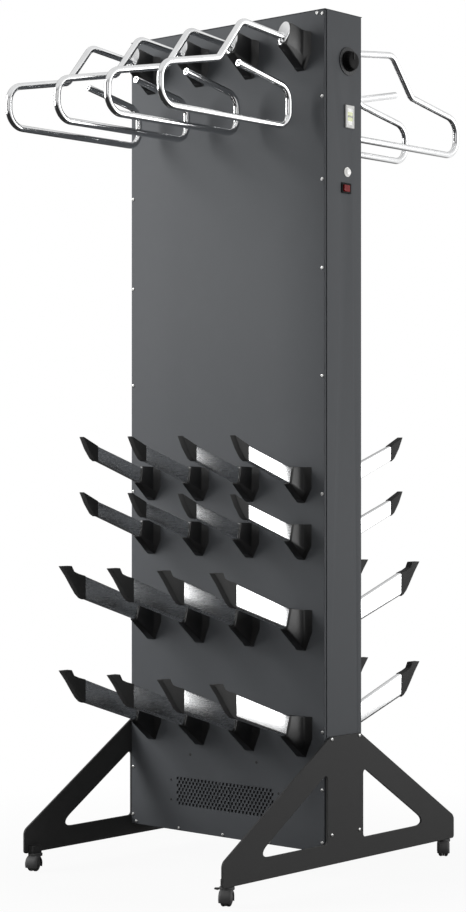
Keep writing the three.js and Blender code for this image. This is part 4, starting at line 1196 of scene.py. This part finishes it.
def build_row(kind, side, level, z):
    """The nozzles of a row and, where it has them, its arms and their tips."""
    row = f"{side}{level}"
    add_piece(
        f"{kind}_outlets_{row}",
        nozzle_row(kind, z),
        "nozzle_plastic",
        side=side,
        replaces=[f"{kind}_nozzles_{row}"],
    )
    if kind not in ARMS:
        return
    add_piece(
        f"{kind}_bars_{row}",
        arm_row(kind, z),
        "arm_aluminium",
        side=side,
        replaces=[f"{kind}_arms_{row}"],
    )
    tips = placed(arm_tip(kind), *along_columns(z))
    add_piece(f"{kind}_tips_{row}", tips, "tip_plastic", side=side)


def build_holders():
    for side in SIDES:
        for kind, levels in ROWS.items():
            for level, z in levels.items():
                build_row(kind, side, level, z)
        for i, x in enumerate(COLUMNS, 1):
            add_piece(
                f"hanger_tube_{side}_{i}",
                hanger(x),
                "hanger_chrome",
                side=side,
                replaces=[f"hanger_{side}_{i}"],
            )


def paint_solids():
    """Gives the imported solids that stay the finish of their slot."""
    for node, piece in frame["nodes"].items():
        for material_slot in piece.material_slots:
            material_slot.material = FINISHES[slot_of[node]]


# ------------------------------------------------------------------ floor, lamps and background
WHITE_WALL = (0.67, 0.742, 0.0)  # the way from the stand to the wall that shows white in reflections
FLOOR_RADIUS = 9.0
RAMP_PER_METRE = 0.25
WORLD_LIGHT = 0.22


def floor_finish():
    """Grey as a lit body; it fades to white for the camera, and towards the wall in reflections."""
    finish = Finish("studio floor", Roughness=0.9)
    spot = finish.spot()
    seen_white = finish.ramp(finish.length(spot) * RAMP_PER_METRE, (0.12, 0.94), (0.3, 1.0))
    towards_wall = finish.reach_along(spot, WHITE_WALL)
    mirrored_white = finish.ramp(towards_wall * RAMP_PER_METRE, (0.32, 0.03), (0.7, 1.0))
    finish.set("Base Color", finish.mix(finish.noise(spot, 60.0), (0.48,) * 3, (0.52,) * 3))
    in_mirror = finish.ray("Glossy")
    body = Wire(finish, finish.shader.outputs[0])
    darkened = finish.mix_shaders(in_mirror, body, finish.glow(0.0))
    white_share = finish.ray("Camera") * seen_white + in_mirror * mirrored_white
    surface = finish.mix_shaders(white_share, darkened, finish.glow(1.0))
    finish.connect(surface, finish.tree.nodes["Material Output"].inputs["Surface"])
    return finish.material


def make_floor():
    bm = bmesh.new()
    bmesh.ops.create_circle(bm, cap_ends=True, segments=64, radius=FLOOR_RADIUS)
    mesh = bpy.data.meshes.new("studio floor")
    bm.to_mesh(mesh)
    bm.free()
    mesh.materials.append(floor_finish())
    floor = bpy.data.objects.new("studio floor", mesh)
    bpy.context.scene.collection.objects.link(floor)


def make_lamp(name, place, target, size, power):
    data = bpy.data.lights.new(name, "AREA")
    data.shape = "RECTANGLE"
    data.size, data.size_y = size
    data.energy = power
    lamp_object = bpy.data.objects.new(name, data)
    lamp_object.location = place
    aim = Vector(target) - Vector(place)
    lamp_object.rotation_euler = aim.to_track_quat("-Z", "Y").to_euler()
    bpy.context.scene.collection.objects.link(lamp_object)


def make_world():
    """White for the camera, bright on one side and above in reflections, and dim as a lamp."""
    world = bpy.data.worlds.new("studio")
    bpy.context.scene.world = world
    world.use_nodes = True
    sky = Graph(world.node_tree)
    direction = sky.node("TexCoord", {}, {}, "Generated")
    wall = sky.scaled(sky.reach_along(direction, WHITE_WALL), (0.15, 0.75), (0.2, 1.0))
    ceiling = sky.scaled(sky.part(direction, "Z"), (0.35, 0.65), (0.0, 0.85))
    strength = sky.ray("Glossy") * wall.at_least(ceiling) + sky.ray("Camera")
    background = sky.tree.nodes["Background"]
    sky.connect(strength.at_least(WORLD_LIGHT), background.inputs["Strength"])
    sky.connect((1.0, 1.0, 1.0), background.inputs["Color"])


def light_studio():
    make_world()
    make_floor()
    make_lamp("key softbox", (-2.4, -2.2, 2.2), (0.0, 0.0, 1.1), (1.5, 2.2), 108.0)
    make_lamp("side softbox", (3.2, 2.4, 1.2), (0.0, 0.0, 0.9), (2.2, 2.8), 74.0)
    make_lamp("front fill", (2.2, -3.4, 2.4), (0.0, 0.0, 1.0), (1.8, 1.8), 9.0)
    bpy.context.scene.view_settings.view_transform = "Standard"


make_camera()
paint_solids()
build_cabinet()
build_holders()
build_castors()
build_controls()
light_studio()
